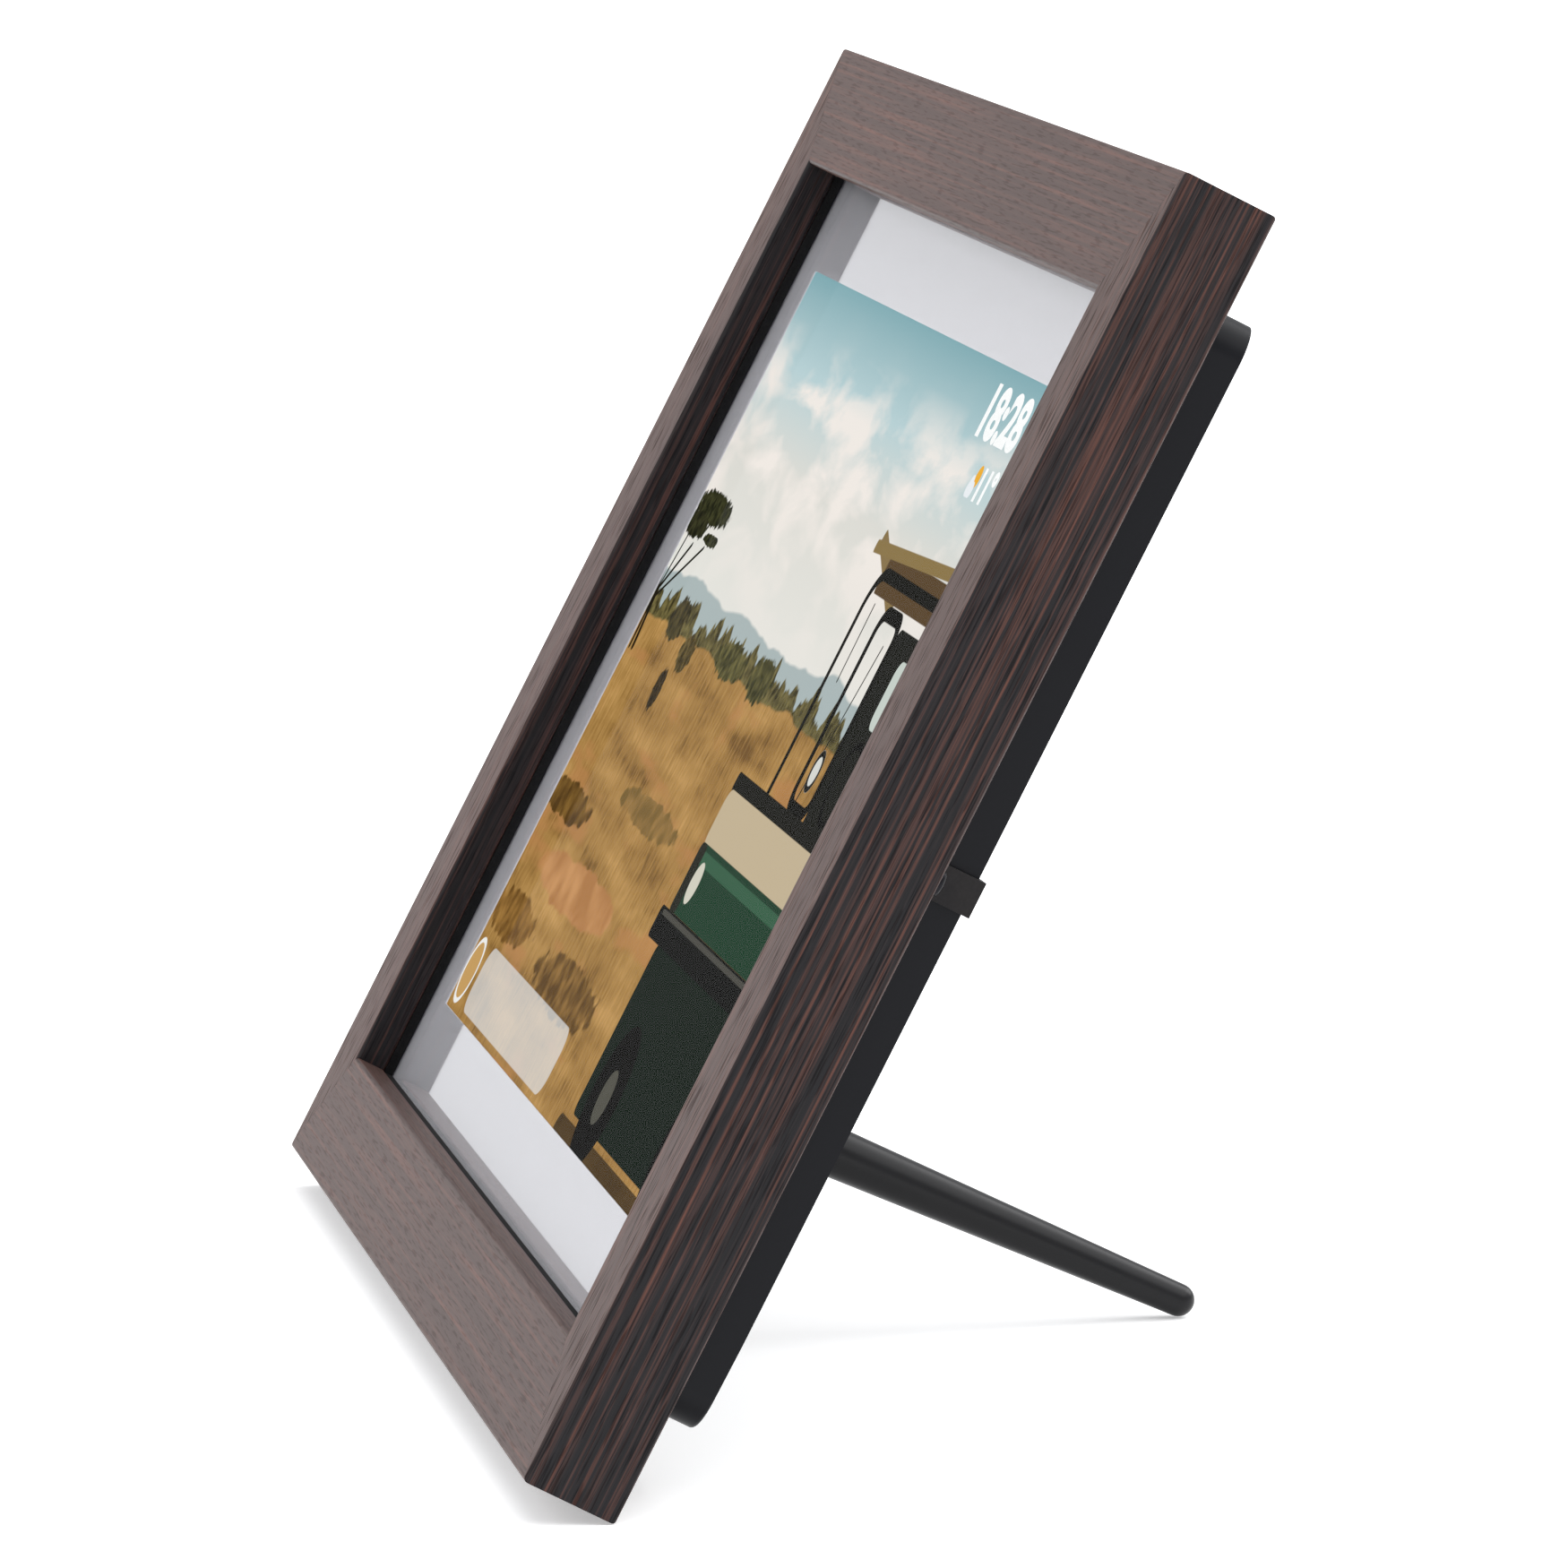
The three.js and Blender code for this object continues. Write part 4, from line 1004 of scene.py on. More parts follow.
def spun(profile: Sequence[tuple[float, float]], steps: int) -> bmesh.types.BMesh:
    """Turns a profile about Y.

    Args:
        profile: Radius and depth of each point. A radius of 0 is on the axis.
        steps: How many faces go round.

    Returns:
        The turned mesh.
    """
    shell = bmesh.new()
    points = [shell.verts.new((radius, depth, 0)) for radius, depth in profile]
    edges = [shell.edges.new(pair) for pair in zip(points, points[1:])]
    bmesh.ops.spin(
        shell,
        geom=[*points, *edges],
        cent=(0, 0, 0),
        axis=(0, 1, 0),
        angle=2 * math.pi,
        steps=steps,
        use_merge=True,
    )
    bmesh.ops.remove_doubles(shell, verts=shell.verts, dist=JOIN_DISTANCE)
    bmesh.ops.recalc_face_normals(shell, faces=shell.faces)
    return shell


def slab(low: Vector, high: Vector) -> bmesh.types.BMesh:
    """A block between two corners.

    Args:
        low: The lowest corner.
        high: The highest corner.

    Returns:
        The block.
    """
    shell = bmesh.new()
    bmesh.ops.create_cube(shell, size=1)
    bmesh.ops.scale(shell, vec=high - low, verts=shell.verts)
    bmesh.ops.translate(shell, vec=(low + high) / 2, verts=shell.verts)
    return shell


def ring(low: Vector, high: Vector, window: tuple[float, float]) -> bmesh.types.BMesh:
    """A flat sheet with a window in its middle.

    Args:
        low: The sheet's lowest corner.
        high: The sheet's highest corner.
        window: The window's width and height.

    Returns:
        The sheet.
    """
    shell = bmesh.new()
    bmesh.ops.create_grid(shell, x_segments=1, y_segments=1, size=0.5)
    upright = Matrix.Rotation(math.pi / 2, 3, "X")
    bmesh.ops.rotate(shell, cent=(0, 0, 0), matrix=upright, verts=shell.verts)
    size = high - low
    bmesh.ops.scale(shell, vec=(size.x, 1, size.z), verts=shell.verts)
    border = (size.x - window[0]) / 2
    bmesh.ops.inset_region(
        shell, faces=shell.faces[:], thickness=border, use_boundary=True, use_even_offset=True
    )
    inner = max(shell.faces, key=lambda face: face.calc_area())
    stretch = window[1] / (size.z - 2 * border)
    bmesh.ops.scale(shell, vec=(1, 1, stretch), verts=inner.verts)
    bmesh.ops.delete(shell, geom=[inner], context="FACES")
    grown = bmesh.ops.extrude_face_region(shell, geom=shell.faces[:])
    moved = [item for item in grown["geom"] if isinstance(item, bmesh.types.BMVert)]
    bmesh.ops.translate(shell, vec=(0, size.y, 0), verts=moved)
    middle = (low + high) / 2
    bmesh.ops.translate(shell, vec=(middle.x, low.y, middle.z), verts=shell.verts)
    bmesh.ops.recalc_face_normals(shell, faces=shell.faces)
    return shell


@dataclass
class Workshop:
    """Puts finished meshes into the scene, on their bodies and in their finishes."""

    axes: Placement

    def place(
        self,
        name: str,
        shell: bmesh.types.BMesh,
        material: bpy.types.Material,
        slot: str,
        body: str,
        stands_for: Sequence[str] = (),
        placement: Placement | None = None,
    ) -> bpy.types.Object:
        """Makes a piece of a mesh.

        Args:
            name: The piece's name.
            shell: The mesh, in millimetres. It is used up.
            material: The piece's material.
            slot: The name of a material slot. It is not used.
            body: The CAD body that the piece rides on.
            stands_for: The CAD nodes that it replaces.
            placement: The mesh's axes, if not the frame's own.

        Returns:
            The new object.
        """
        matrix = (placement or self.axes).matrix
        bmesh.ops.transform(shell, matrix=matrix, verts=shell.verts)
        mesh = bpy.data.meshes.new(name)
        shell.to_mesh(mesh)
        shell.free()
        mesh.shade_smooth()
        mesh.set_sharp_from_angle(angle=CREASE_ANGLE)
        mesh.materials.append(material)
        piece = bpy.data.objects.new(name, mesh)
        bpy.context.scene.collection.objects.link(piece)
        even = piece.modifiers.new("even_shading", "WEIGHTED_NORMAL")
        even.keep_sharp = True
        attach(piece, body)
        if stands_for:
            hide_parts(*stands_for)
        log.info("%s: %d faces on %s", name, len(mesh.polygons), body)
        return piece

    def dress(self, nodes: Sequence[str], material: bpy.types.Material) -> None:
        """Gives CAD nodes a material.

        Args:
            nodes: The CAD nodes' names.
            material: Their material.
        """
        for name in nodes:
            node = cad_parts[name]
            for slot in node.material_slots:
                slot.material = material
            log.info("%s: dressed in %s", name, material.name)


# ------------------------------------------------------------------ sub-assemblies


@dataclass
class Moulding:
    """The four mitred lengths of wood and the nails in their corners."""

    shop: Workshop
    arris: float = 0.9
    mitre_cut: float = 0.2121
    mitre_line: float = 0.03

    def close_mitres(self, shell: bmesh.types.BMesh, outer: Vector, inner: Vector) -> None:
        """Draws a member's ends out until only a hairline is left at its mitres.

        Args:
            shell: The member.
            outer: The lowest corner of the whole moulding.
            inner: The highest corner of the whole moulding.
        """
        low = Vector(min(v.co[axis] for v in shell.verts) for axis in range(3))
        high = Vector(max(v.co[axis] for v in shell.verts) for axis in range(3))
        along = 0 if high.x - low.x > high.z - low.z else 2
        other = 2 - along
        reach = self.mitre_cut - self.mitre_line
        for end, sign in ((outer, -1), (inner, 1)):
            edge = outer if low[other] - outer[other] < 1 else inner
            for vertex in shell.verts:
                inward = abs(vertex.co[other] - edge[other])
                gap = abs(vertex.co[along] - end[along]) - inward
                if abs(gap - self.mitre_cut) < 0.02:
                    vertex.co[along] += sign * reach

    def build(self) -> None:
        """Makes the members with rounded arrises and dresses the nails."""
        across = StainedWenge("stained_wenge_rail", Grain.ACROSS, 0.45, 0.18).build(self.shop.axes)
        up = StainedWenge("stained_wenge_stile", Grain.UP, 0.9, 0.5).build(self.shop.axes)
        cut = Vector((self.mitre_cut, 0, 0))
        outer = self.shop.axes.box("bottom_rail")[0] - cut
        inner = self.shop.axes.box("top_rail")[1] + cut
        members = (
            ("bottom_rail", 0, across),
            ("top_rail", 0, across),
            ("left_stile", 2, up),
            ("right_stile", 2, up),
        )
        for name, along, material in members:
            shell = copied_shell(name, self.shop.axes)
            self.close_mitres(shell, outer, inner)

            def runs_along(edge: bmesh.types.BMEdge, axis: int = along) -> bool:
                """True for the outward edges that run the member's whole length."""
                run = edge.verts[1].co - edge.verts[0].co
                return run.length > 30 and abs(run[axis]) > 0.999 * run.length and is_arris(edge)

            soften(shell, runs_along, self.arris, 3)
            self.shop.place(f"{name}_wood", shell, material, "dark_wood", "frame", [name])
        steel = WorkedMetal("blued_nail_steel", "#7f8286", "#5f6164", 0.38).build(self.shop.axes)
        corners = ("top_left", "top_right", "bottom_left", "bottom_right")
        nails = [f"v_nail_{corner}_{index}" for corner in corners for index in (1, 2)]
        self.shop.dress(nails, steel)


@dataclass
class Glazing:
    """The foam gasket, the cover glass and the mat behind it."""

    shop: Workshop
    lip_depth: float = 7.5
    sight_inset: float = 28.0
    contact: float = 0.03
    mat_thickness: float = 0.35
    glass_arris: float = 0.25

    def build(self) -> None:
        """Makes the three sheets."""
        axes = self.shop.axes
        foam = CellFoam("closed_cell_foam", "#131314", 0.5).build(axes)
        low, high = axes.box("glass_gasket")
        glass_low, glass_high = axes.box("cover_glass")
        mat_low, mat_high = axes.box("mat_board")
        corner = axes.box("top_rail")[1]
        sight = (2 * (corner.x - self.sight_inset), corner.z - 2 * self.sight_inset)
        low.y = self.lip_depth + self.contact
        high.y = glass_low.y - self.contact
        gasket = ring(low, high, sight)
        self.shop.place("gasket_foam", gasket, foam, "foam", "frame", ["glass_gasket"])

        middle = (mat_low + mat_high) / 2
        film = FloatGlass(
            "float_glass", tuple(middle), (LIT_WIDTH / 2, FAR, LIT_HEIGHT / 2)
        ).build(axes)
        pane = slab(glass_low, glass_high)
        soften(pane, is_arris, self.glass_arris, 2)
        self.shop.place("glass_pane", pane, film, "clear_glass", "frame", ["cover_glass"])

        card = CoatedPaper("calendered_mat_card", "#e4e3e9", "#dadade").build(axes)
        mat_low.y = glass_high.y + self.contact
        mat_high.y = mat_low.y + self.mat_thickness
        mat = ring(mat_low, mat_high, (LIT_WIDTH, LIT_HEIGHT))
        self.shop.place("mat_card", mat, card, "mat_paper", "frame", ["mat_board"])


@dataclass
class Display:
    """The lit screen with its clock, and the chassis behind it."""

    shop: Workshop
    play: float = 0.1
    film: float = 0.02
    clock_left: float = 94.0
    clock_bottom: float = 227.7
    clock_width: float = 45.0
    clock_height: float = 12.7
    degrees_low: tuple[float, float] = (123.0, 215.4)
    degrees_high: tuple[float, float] = (139.5, 223.6)
    boldness: float = 0.04

    def lettering(
        self,
        name: str,
        text: str,
        low: tuple[float, float],
        high: tuple[float, float],
        front: float,
    ) -> bmesh.types.BMesh:
        """Figures drawn as a thin film on the screen.

        Args:
            name: What to call the curve while it is made.
            text: The figures.
            low: Their left and bottom.
            high: Their right and top.
            front: The depth of their front face.

        Returns:
            The figures' mesh.
        """
        curve = bpy.data.curves.new(name, "FONT")
        curve.body = text
        curve.extrude = 0.5
        curve.offset = self.boldness
        curve.resolution_u = 6
        figure = bpy.data.objects.new(name, curve)
        bpy.context.scene.collection.objects.link(figure)
        bpy.context.view_layer.update()
        mesh = bpy.data.meshes.new_from_object(figure)
        shell = bmesh.new()
        shell.from_mesh(mesh)
        bpy.data.objects.remove(figure)
        bpy.data.meshes.remove(mesh)
        bmesh.ops.remove_doubles(shell, verts=shell.verts, dist=1e-5)
        upright = Matrix.Rotation(math.pi / 2, 3, "X")
        bmesh.ops.rotate(shell, cent=(0, 0, 0), matrix=upright, verts=shell.verts)
        lowest = Vector(min(v.co[axis] for v in shell.verts) for axis in range(3))
        highest = Vector(max(v.co[axis] for v in shell.verts) for axis in range(3))
        size = highest - lowest
        scale = ((high[0] - low[0]) / size.x, self.film / size.y, (high[1] - low[1]) / size.z)
        bmesh.ops.translate(shell, vec=-lowest, verts=shell.verts)
        bmesh.ops.scale(shell, vec=scale, verts=shell.verts)
        bmesh.ops.translate(shell, vec=(low[0], front, low[1]), verts=shell.verts)
        return shell

    def cell(self, low: Vector, high: Vector, front: float) -> bmesh.types.BMesh:
        """Shapes the cell, whose lit area stands up into the mat's window.

        Args:
            low: The cell's lowest corner.
            high: Its highest corner.
            front: The depth of the lit area's face.

        Returns:
            The cell's mesh.
        """
        shell = slab(low, high)
        face = min(shell.faces, key=lambda item: item.calc_center_median().y)
        bmesh.ops.inset_individual(shell, faces=[face], thickness=1.0, use_even_offset=True)
        middle = (low + high) / 2
        size = high - low
        lit = (LIT_WIDTH - 2 * self.play, LIT_HEIGHT - 2 * self.play)
        bmesh.ops.scale(
            shell,
            vec=(lit[0] / (size.x - 2), 1, lit[1] / (size.z - 2)),
            verts=face.verts,
            space=Matrix.Translation((-middle.x, 0, -middle.z)),
        )
        grown = bmesh.ops.extrude_discrete_faces(shell, faces=[face])
        raised = grown["faces"][0]
        bmesh.ops.translate(shell, vec=(0, front - low.y, 0), verts=raised.verts)
        bmesh.ops.recalc_face_normals(shell, faces=shell.faces)
        return shell

    def build(self) -> None:
        """Makes the screen and its figures, and dresses what is behind it."""
        axes = self.shop.axes
        glass_back = axes.box("cover_glass")[1].y
        low, high = axes.box("lcd_cell")
        middle = (low.z + high.z) / 2
        front = glass_back + 2 * self.film
        picture = LitScreen("lit_display_cell", 164.0, middle + LIT_HEIGHT / 2, 1.0).build(axes)
        screen = self.cell(low, high, front)
        self.shop.place("display_picture", screen, picture, "lit_screen", "frame", ["lcd_cell"])

        white = Glow("lit_white_pixels", "#f7f9f8", 1.0).build(axes)
        top = self.clock_bottom + self.clock_height
        right = self.clock_left + self.clock_width
        depth = front - self.film
        left = (self.clock_left, self.clock_bottom)
        clock = self.lettering("clock", "18:28", left, (right, top), depth)
        self.shop.place("clock_figures", clock, white, "lit_screen", "frame")
        degrees = self.lettering("degrees", "11°", self.degrees_low, self.degrees_high, depth)
        self.shop.place("temperature_figures", degrees, white, "lit_screen", "frame")

        guide = CoatedPaper("frosted_acrylic_guide", "#f3f3ee", "#e4e5e0", 0.5).build(axes)
        self.shop.dress(["backlight_guide"], guide)
        tray = WorkedMetal("zinc_plated_sheet", "#b3b6b9", "#8f9295", 0.36, (30, 0.6, 0.6))
        self.shop.dress(["screen_chassis"], tray.build(axes))
        flex = CircuitLaminate("polyimide_flex", "#a8641f", "#7c4514", 0.9).build(axes)
        self.shop.dress(["display_flex"], flex)


@dataclass
class Electronics:
    """The circuit board with its ports, the speakers and the power button."""

    shop: Workshop
    rim: float = 0.45
    cap_steps: int = 48

    def button(self) -> bmesh.types.BMesh:
        """Shapes the power button's cap and flange.

        Returns:
            The button, turned to press along X.
        """
        low, high = self.shop.axes.box("power_button")
        middle = (low + high) / 2
        flange = (high.y - low.y) / 2
        cap = flange - 0.6
        length = high.x - low.x
        dish = 0.25
        profile = [
            (0, 0),
            (flange, 0),
            (flange, 0.8),
            (cap, 0.8),
            (cap, length - self.rim),
            (cap - self.rim * 0.3, length - self.rim * 0.3),
            (cap - self.rim, length),
            (cap * 0.5, length - dish * 0.7),
            (0, length - dish),
        ]
        shell = spun(profile, self.cap_steps)
        turn = Matrix.Rotation(math.pi / 2, 3, "Z")
        bmesh.ops.rotate(shell, cent=(0, 0, 0), matrix=turn, verts=shell.verts)
        bmesh.ops.translate(shell, vec=(high.x, middle.y, middle.z), verts=shell.verts)
        return shell

    def build(self) -> None:
        """Makes the button and dresses the rest."""
        axes = self.shop.axes
        black = MouldedPlastic("moulded_black_nylon", "#151517", "#1d1d1f", 0.5).build(axes)
        shell = self.button()
        self.shop.place(
            "button_cap", shell, black, "component_plastic", "power_button", ["power_button"]
        )
        self.shop.dress(["power_jack", "power_switch", "speaker_left", "speaker_right"], black)
        tin = WorkedMetal("tinned_steel_shell", "#c4c6c8", "#9fa2a5", 0.3, (6, 0.4, 0.4))
        cans = ["processor_shield", "wifi_module", "usb_port", "card_slot"]
        self.shop.dress(cans, tin.build(axes))
        board = CircuitLaminate("green_glass_laminate", "#12492b", "#2c7547").build(axes)
        self.shop.dress(["main_board"], board)
        film = CircuitLaminate("dark_antenna_film", "#1d1d1f", "#35302a", 1.0).build(axes)
        self.shop.dress(["wifi_antenna"], film)
        zinc = WorkedMetal("zinc_screw_steel", "#c2c5c8", "#9da0a4", 0.32).build(axes)
        self.shop.dress([f"board_screw_{index}" for index in range(1, 5)], zinc)


@dataclass
class PanScrew:
    """A pan-head screw with a cross recess, replacing a plain CAD one."""

    shop: Workshop
    material: bpy.types.Material
    steps: int = 32
    recess_depth: float = 0.75
    recess_width: float = 0.62
    wide_head: float = 2.95
    wide_rise: float = 1.6
    small_rise: float = 1.2

    def build(self, node: str, shank: float, spin: float) -> None:
        """Makes one screw where a CAD node is.

        Args:
            node: The CAD node it replaces.
            shank: The shank's radius, in millimetres.
            spin: How far the recess is turned about the screw's axis, in radians.
        """
        low, high = self.shop.axes.box(node)
        middle = (low + high) / 2
        head = (high.x - low.x) / 2
        rise = self.wide_rise if head > self.wide_head else self.small_rise
        under = high.y - rise
        tip = low.y
        profile = [
            (0, tip),
            (shank * 0.45, tip),
            (shank, tip + shank * 1.2),
            (shank, under),
            (head - 0.1, under),
            (head, under + 0.12),
            (head, under + rise * 0.38),
            (head - 0.12, under + rise * 0.62),
            (head * 0.82, under + rise * 0.85),
            (head * 0.6, under + rise * 0.97),
            (0, high.y),
        ]
        shell = spun(profile, self.steps)
        arms = bmesh.new()
        for quarter in (0, 1):
            made = bmesh.ops.create_cube(arms, size=1)
            bmesh.ops.scale(
                arms,
                vec=(head * 1.15, 2 * self.recess_depth, self.recess_width),
                verts=made["verts"],
            )
            turn = Matrix.Rotation(spin + quarter * math.pi / 2, 3, "Y")
            bmesh.ops.rotate(arms, cent=(0, 0, 0), matrix=turn, verts=made["verts"])
        bmesh.ops.translate(arms, vec=(0, high.y, 0), verts=arms.verts)
        cut = carved(shell, arms)
        bmesh.ops.translate(cut, vec=(middle.x, 0, middle.z), verts=cut.verts)
        self.shop.place(f"{node}_pan", cut, self.material, "black_screw", "frame", [node])


def carved(body: bmesh.types.BMesh, cutter: bmesh.types.BMesh) -> bmesh.types.BMesh:
    """Takes one closed mesh out of another.

    Args:
        body: What is cut. It is used up.
        cutter: What is taken away. It is used up.

    Returns:
        What is left of the body.
    """
    objects = []
    for shell in (body, cutter):
        mesh = bpy.data.meshes.new("carving")
        shell.to_mesh(mesh)
        shell.free()
        item = bpy.data.objects.new("carving", mesh)
        bpy.context.scene.collection.objects.link(item)
        objects.append(item)
    cut = objects[0].modifiers.new("cut", "BOOLEAN")
    cut.operation = "DIFFERENCE"
    cut.solver = "EXACT"
    cut.use_self = True
    cut.object = objects[1]
    graph = bpy.context.evaluated_depsgraph_get()
    result = bmesh.new()
    result.from_mesh(objects[0].evaluated_get(graph).to_mesh())
    for item in objects:
        mesh = item.data
        bpy.data.objects.remove(item)
        bpy.data.meshes.remove(mesh)
    return result


@dataclass
class RearHousing:
    """The plastic back with its screws and threaded inserts."""

    shop: Workshop
    rim_radius: float = 0.8
    slot_radius: float = 0.22
    outline_band: float = 8.1

    def build(self) -> None:
        """Makes the cover with soft edges, its screws, and dresses the inserts."""
        axes = self.shop.axes
        plastic = MouldedPlastic(
            "moulded_charcoal_abs", "#0a0b10", "#101116", 0.36, specular=0.16
        ).build(axes)
        low, high = axes.box("rear_cover")
        band = self.outline_band

        def on_back(edge: bmesh.types.BMEdge) -> bool:
            """True for edges in the plane of the back."""
            return all(abs(v.co.y - high.y) < 0.01 for v in edge.verts) and is_arris(edge)

        def on_rim(edge: bmesh.types.BMEdge) -> bool:
            """True for the back's outer edges."""
            return on_back(edge) and all(
                min(v.co.x - low.x, high.x - v.co.x, v.co.z - low.z, high.z - v.co.z) < band
                for v in edge.verts
            )

        shell = copied_shell("rear_cover", axes)
        soften(shell, lambda edge: on_back(edge) and not on_rim(edge), self.slot_radius, 1)
        soften(shell, on_rim, self.rim_radius, 4)
        self.shop.place("housing_shell", shell, plastic, "cover_plastic", "frame", ["rear_cover"])

        black = WorkedMetal("black_oxide_steel", "#2a2a2d", "#1b1b1e", 0.4, (1, 1, 1)).build(axes)
        screw = PanScrew(self.shop, black)
        for index in range(1, 5):
            screw.build(f"cover_screw_{index}", 1.5, 0.4 * index)
        for index, side in enumerate(("left", "right", "top", "bottom")):
            screw.build(f"clip_screw_{side}", 1.5, 0.7 * index + 0.2)
        brass = WorkedMetal("turned_brass", "#c9a24b", "#a5823a", 0.3, (0.5, 0.5, 0.5)).build(axes)
        self.shop.dress(["leg_insert", "portrait_insert"], brass)


@dataclass
class RetainingClips:
    """The folded steel clips that hold the housing in the wood."""

    shop: Workshop
    edge: float = 0.14

    def build(self) -> None:
        """Makes the four clips with broken edges."""
        axes = self.shop.axes
        steel = WorkedMetal(
            "phosphated_spring_steel", "#2e2c2b", "#232224", 0.5, (0.6, 0.6, 0.6), 0.85
        ).build(axes)
        for side in ("left", "right", "top", "bottom"):
            shell = copied_shell(f"clip_{side}", axes)
            soften(shell, is_arris, self.edge, 2)
            self.shop.place(
                f"clip_{side}_strap", shell, steel, "clip_steel", "frame", [f"clip_{side}"]
            )


@dataclass
class SupportLeg:
    """The tapered leg, its threaded stud and the rubber washer under its root."""

    shop: Workshop
    seat_depth: float = 31.7
    height: float = 69.4
    tilt: float = math.radians(2.8)
    root_radius: float = 6.6
    tip_radius: float = 3.7
    length: float = 129.0
    gap: float = 0.3
    washer: float = 1.0
    washer_radius: float = 6.2
    stud_radius: float = 3.0
    stud_in: float = 12.0
    stud_out: float = 8.0
    pitch: float = 1.0
    thread_depth: float = 0.55
    tip_steps: int = 10
    turn_steps: int = 24
    root_edge: float = 0.6
    root_cut: float = 0.18
    root_step: float = 0.16
    washer_edge: float = 0.25
    steps: int = 72

    def root(self) -> float:
        """Where the leg starts above its seat."""
        return self.gap + self.washer + self.gap

    def shaft(self) -> bmesh.types.BMesh:
        """Shapes the leg with its bore, soft root edge and ball tip."""
        root = self.root()
        centre = root + self.length - self.tip_radius
        bore = self.stud_radius + self.gap
        end = root + self.stud_in + self.gap
        ball = [
            (
                self.tip_radius * math.cos(step / self.tip_steps * math.pi / 2),
                centre + self.tip_radius * math.sin(step / self.tip_steps * math.pi / 2),
            )
            for step in range(self.tip_steps)
        ]
        profile = [
            (0, end),
            (bore, end),
            (bore, root),
            (self.root_radius - self.root_edge, root),
            (self.root_radius - self.root_cut, root + self.root_step),
            (self.root_radius, root + self.root_edge),
            *ball,
            (0, centre + self.tip_radius),
        ]
        return spun(profile, self.steps)

    def stud(self) -> bmesh.types.BMesh:
        """Shapes the stud with a real helix for its thread."""
        first = -self.stud_out
        turns = round((self.stud_out + self.root() + self.stud_in - 0.6) / self.pitch) - 1
        shell = bmesh.new()
        core = self.stud_radius - self.thread_depth
        points = [
            shell.verts.new((core, first, 0)),
            shell.verts.new((self.stud_radius, first + self.pitch * 0.42, 0)),
            shell.verts.new((self.stud_radius, first + self.pitch * 0.54, 0)),
            shell.verts.new((core, first + self.pitch, 0)),
        ]
        edges = [shell.edges.new(pair) for pair in zip(points, points[1:])]
        bmesh.ops.spin(
            shell,
            geom=[*points, *edges],
            cent=(0, 0, 0),
            axis=(0, 1, 0),
            dvec=(0, self.pitch / self.turn_steps, 0),
            angle=2 * math.pi * turns,
            steps=self.turn_steps * turns,
        )
        bmesh.ops.remove_doubles(shell, verts=shell.verts, dist=JOIN_DISTANCE)
        open_edges = [edge for edge in shell.edges if edge.is_boundary]
        bmesh.ops.holes_fill(shell, edges=open_edges)
        bmesh.ops.recalc_face_normals(shell, faces=shell.faces)
        return shell

    def ring(self) -> bmesh.types.BMesh:
        """Shapes the washer with round edges."""
        low = self.gap
        high = self.gap + self.washer
        bore = self.stud_radius + self.gap
        edge = self.washer_edge
        profile = [
            (bore, low + edge),
            (bore + edge, low),
            (self.washer_radius - edge, low),
            (self.washer_radius, low + edge),
            (self.washer_radius, high - edge),
            (self.washer_radius - edge, high),
            (bore + edge, high),
            (bore, high - edge),
            (bore, low + edge),
        ]
        return spun(profile, self.steps)

    def build(self) -> None:
        """Makes the leg's three pieces."""
        place = self.shop.axes.moved(Vector((0, self.seat_depth, self.height)), self.tilt)
        paint_coat = SatinPaint("baked_black_paint", "#0a0a0c", 0.3).build(place)
        steel = WorkedMetal("zinc_plated_stud", "#b9bcc0", "#96999d", 0.3).build(place)
        rubber = CellFoam("black_rubber", "#161617", 0.8).build(place)
        pieces = (
            ("leg_shaft", self.shaft(), paint_coat, "leg_paint", "leg", ["leg"]),
            ("threaded_stud", self.stud(), steel, "stud_steel", "leg", ["leg_stud"]),
            ("rubber_washer", self.ring(), rubber, "washer_rubber", "leg_washer", ["leg_washer"]),
        )
        for piece in pieces:
            self.shop.place(*piece, place)


# ------------------------------------------------------------------ studio


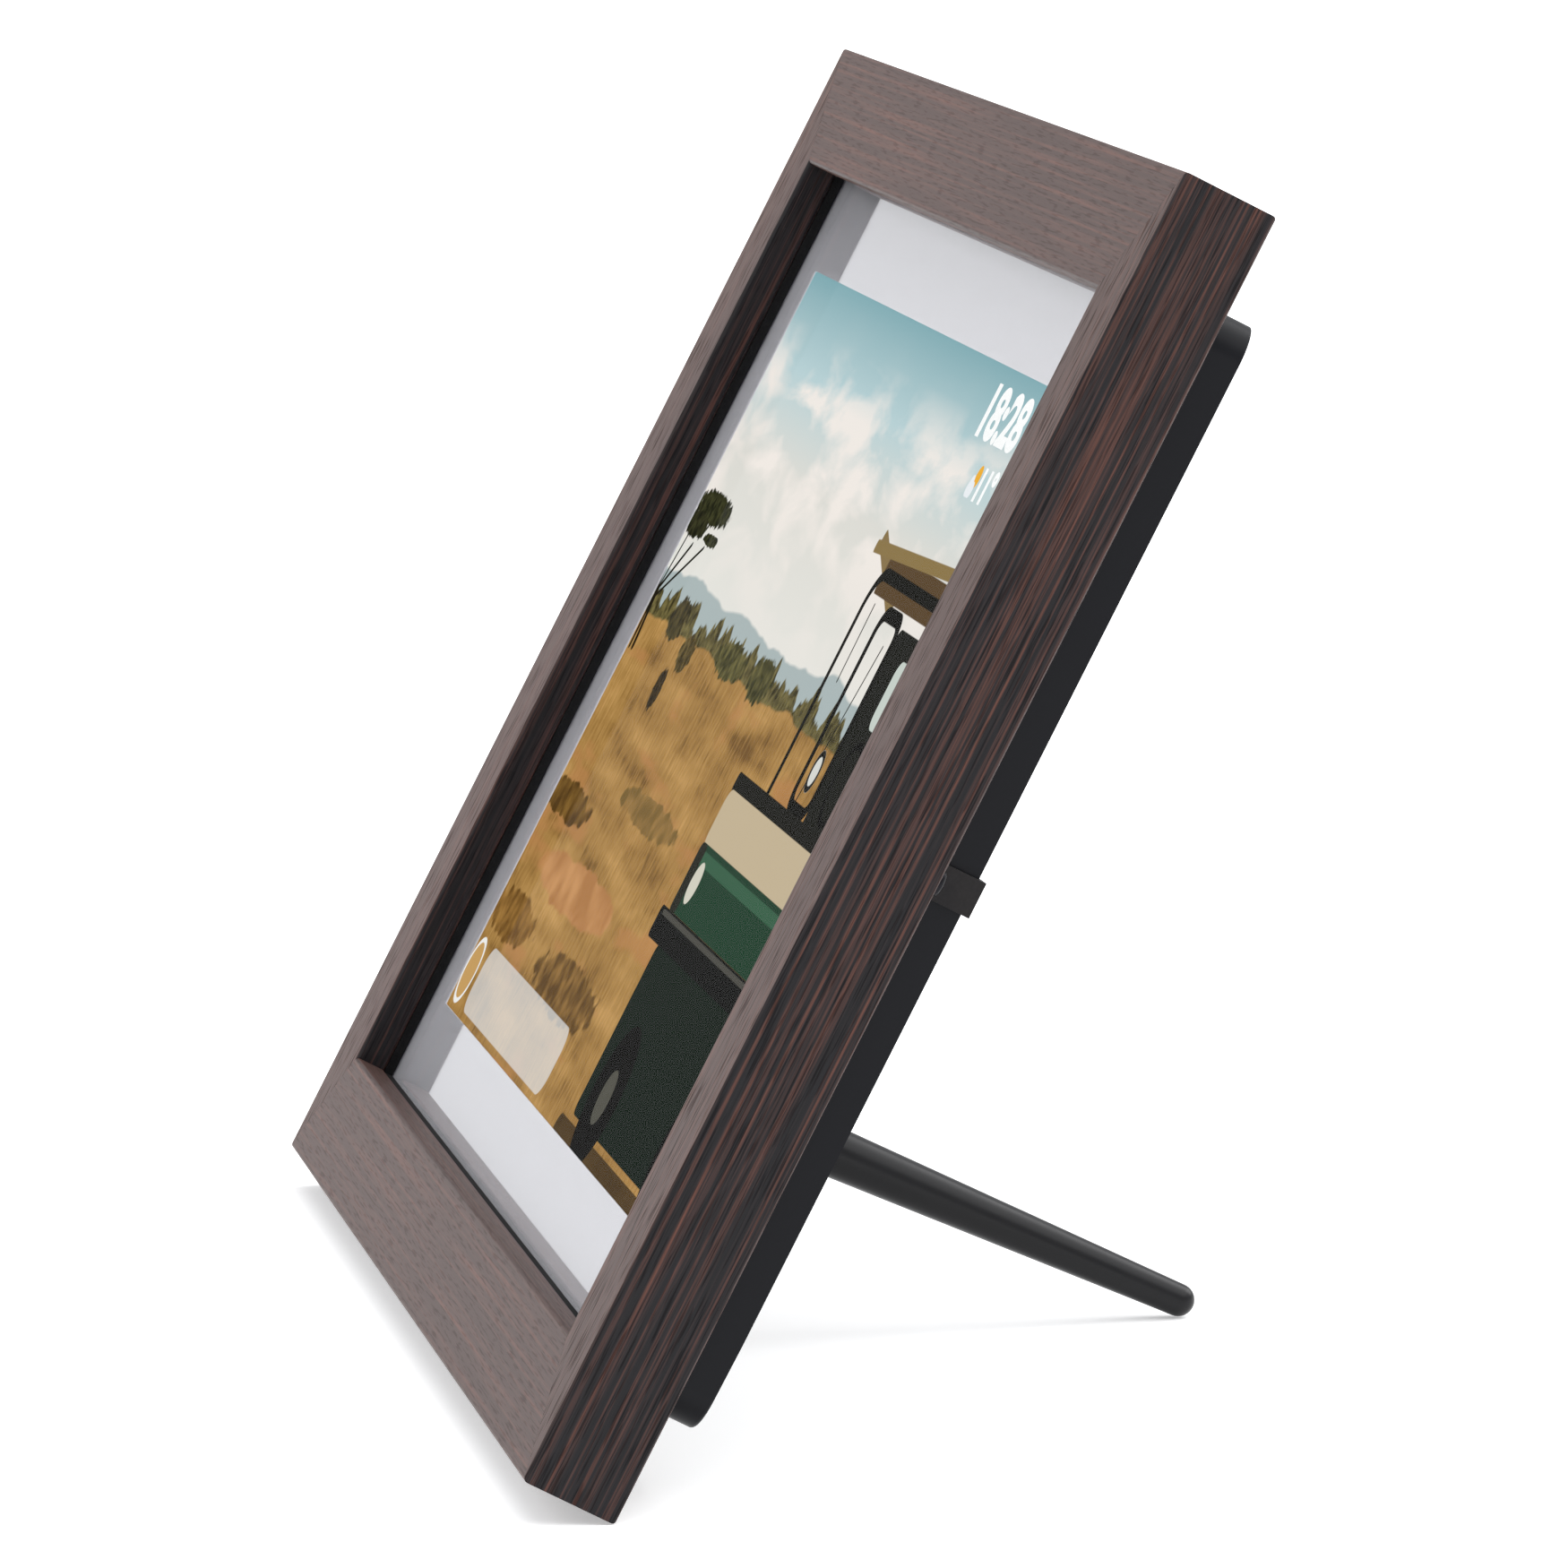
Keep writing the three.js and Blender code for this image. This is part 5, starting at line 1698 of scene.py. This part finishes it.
@dataclass
class Studio:
    """The floor, the lights and the camera."""

    place: tuple[float, float, float] = (2.392976, -0.365153, 0.42372)
    right: tuple[float, float, float] = (0.150398, 0.988614, -0.004719)
    up: tuple[float, float, float] = (-0.121543, 0.023227, 0.992314)
    back: tuple[float, float, float] = (0.981126, -0.148669, 0.123653)
    lens: float = 253.65
    floor_size: float = 40.0
    floor_glow: float = 0.35
    sky: float = 0.8
    sun: float = 2.2

    def camera(self) -> None:
        """Sets up the camera."""
        data = bpy.data.cameras.new("camera")
        data.lens = self.lens
        data.sensor_width = 36.0
        data.clip_start = 0.05
        data.clip_end = 200.0
        camera = bpy.data.objects.new("camera", data)
        turn = Matrix((self.right, self.up, self.back)).transposed()
        camera.matrix_world = Matrix.Translation(self.place) @ turn.to_4x4()
        bpy.context.scene.collection.objects.link(camera)
        bpy.context.scene.camera = camera

    def floor(self) -> None:
        """Lays a plain pale floor."""
        shell = bmesh.new()
        bmesh.ops.create_grid(shell, x_segments=8, y_segments=8, size=self.floor_size / 2)
        mesh = bpy.data.meshes.new("floor")
        shell.to_mesh(mesh)
        shell.free()
        floor = bpy.data.objects.new("floor", mesh)
        material = bpy.data.materials.new("white_sweep")
        material.use_nodes = True
        shader = material.node_tree.nodes["Principled BSDF"]
        shader.inputs["Base Color"].default_value = paint("#f4f4f4")
        shader.inputs["Roughness"].default_value = 0.9
        shader.inputs["Specular IOR Level"].default_value = 0.0
        shader.inputs["Emission Color"].default_value = paint("#ffffff")
        shader.inputs["Emission Strength"].default_value = self.floor_glow
        mesh.materials.append(material)
        bpy.context.scene.collection.objects.link(floor)

    def lights(self) -> None:
        """Hangs one wide soft lamp overhead and two tall soft boxes."""
        world = bpy.data.worlds.new("studio")
        world.use_nodes = True
        background = world.node_tree.nodes["Background"]
        background.inputs["Color"].default_value = paint("#fbfcff")
        background.inputs["Strength"].default_value = self.sky
        bpy.context.scene.world = world
        overhead = bpy.data.lights.new("overhead", "SUN")
        overhead.energy = self.sun
        overhead.angle = math.radians(80)
        lamp = bpy.data.objects.new("overhead", overhead)
        lamp.rotation_euler = (math.radians(-18), math.radians(14), 0)
        bpy.context.scene.collection.objects.link(lamp)
        boxes = (
            ("behind", (-0.6, 1.7, 1.2), (0.0, 0.0, 0.1), 1.2, 14.0),
            ("front", (0.8, -1.8, 1.5), (0.0, 0.0, 0.1), 1.4, 10.0),
        )
        for name, spot, target, size, energy in boxes:
            data = bpy.data.lights.new(name, "AREA")
            data.shape = "SQUARE"
            data.size = size
            data.energy = energy
            box = bpy.data.objects.new(name, data)
            aim = Vector(target) - Vector(spot)
            box.rotation_euler = aim.to_track_quat("-Z", "Y").to_euler()
            box.location = spot
            bpy.context.scene.collection.objects.link(box)

    def build(self) -> None:
        """Sets the stage."""
        self.camera()
        self.floor()
        self.lights()
        bpy.context.scene.view_settings.view_transform = "Standard"


def main() -> None:
    """Builds the object's pieces in order, then the studio round them."""
    logging.basicConfig(level=logging.INFO, format="%(message)s")
    shop = Workshop(leaning_axes(height=295.0, depth=21.0))
    Moulding(shop).build()
    Glazing(shop).build()
    Display(shop).build()
    Electronics(shop).build()
    RearHousing(shop).build()
    RetainingClips(shop).build()
    SupportLeg(shop).build()
    Studio().build()


if __name__ == "__main__":
    main()
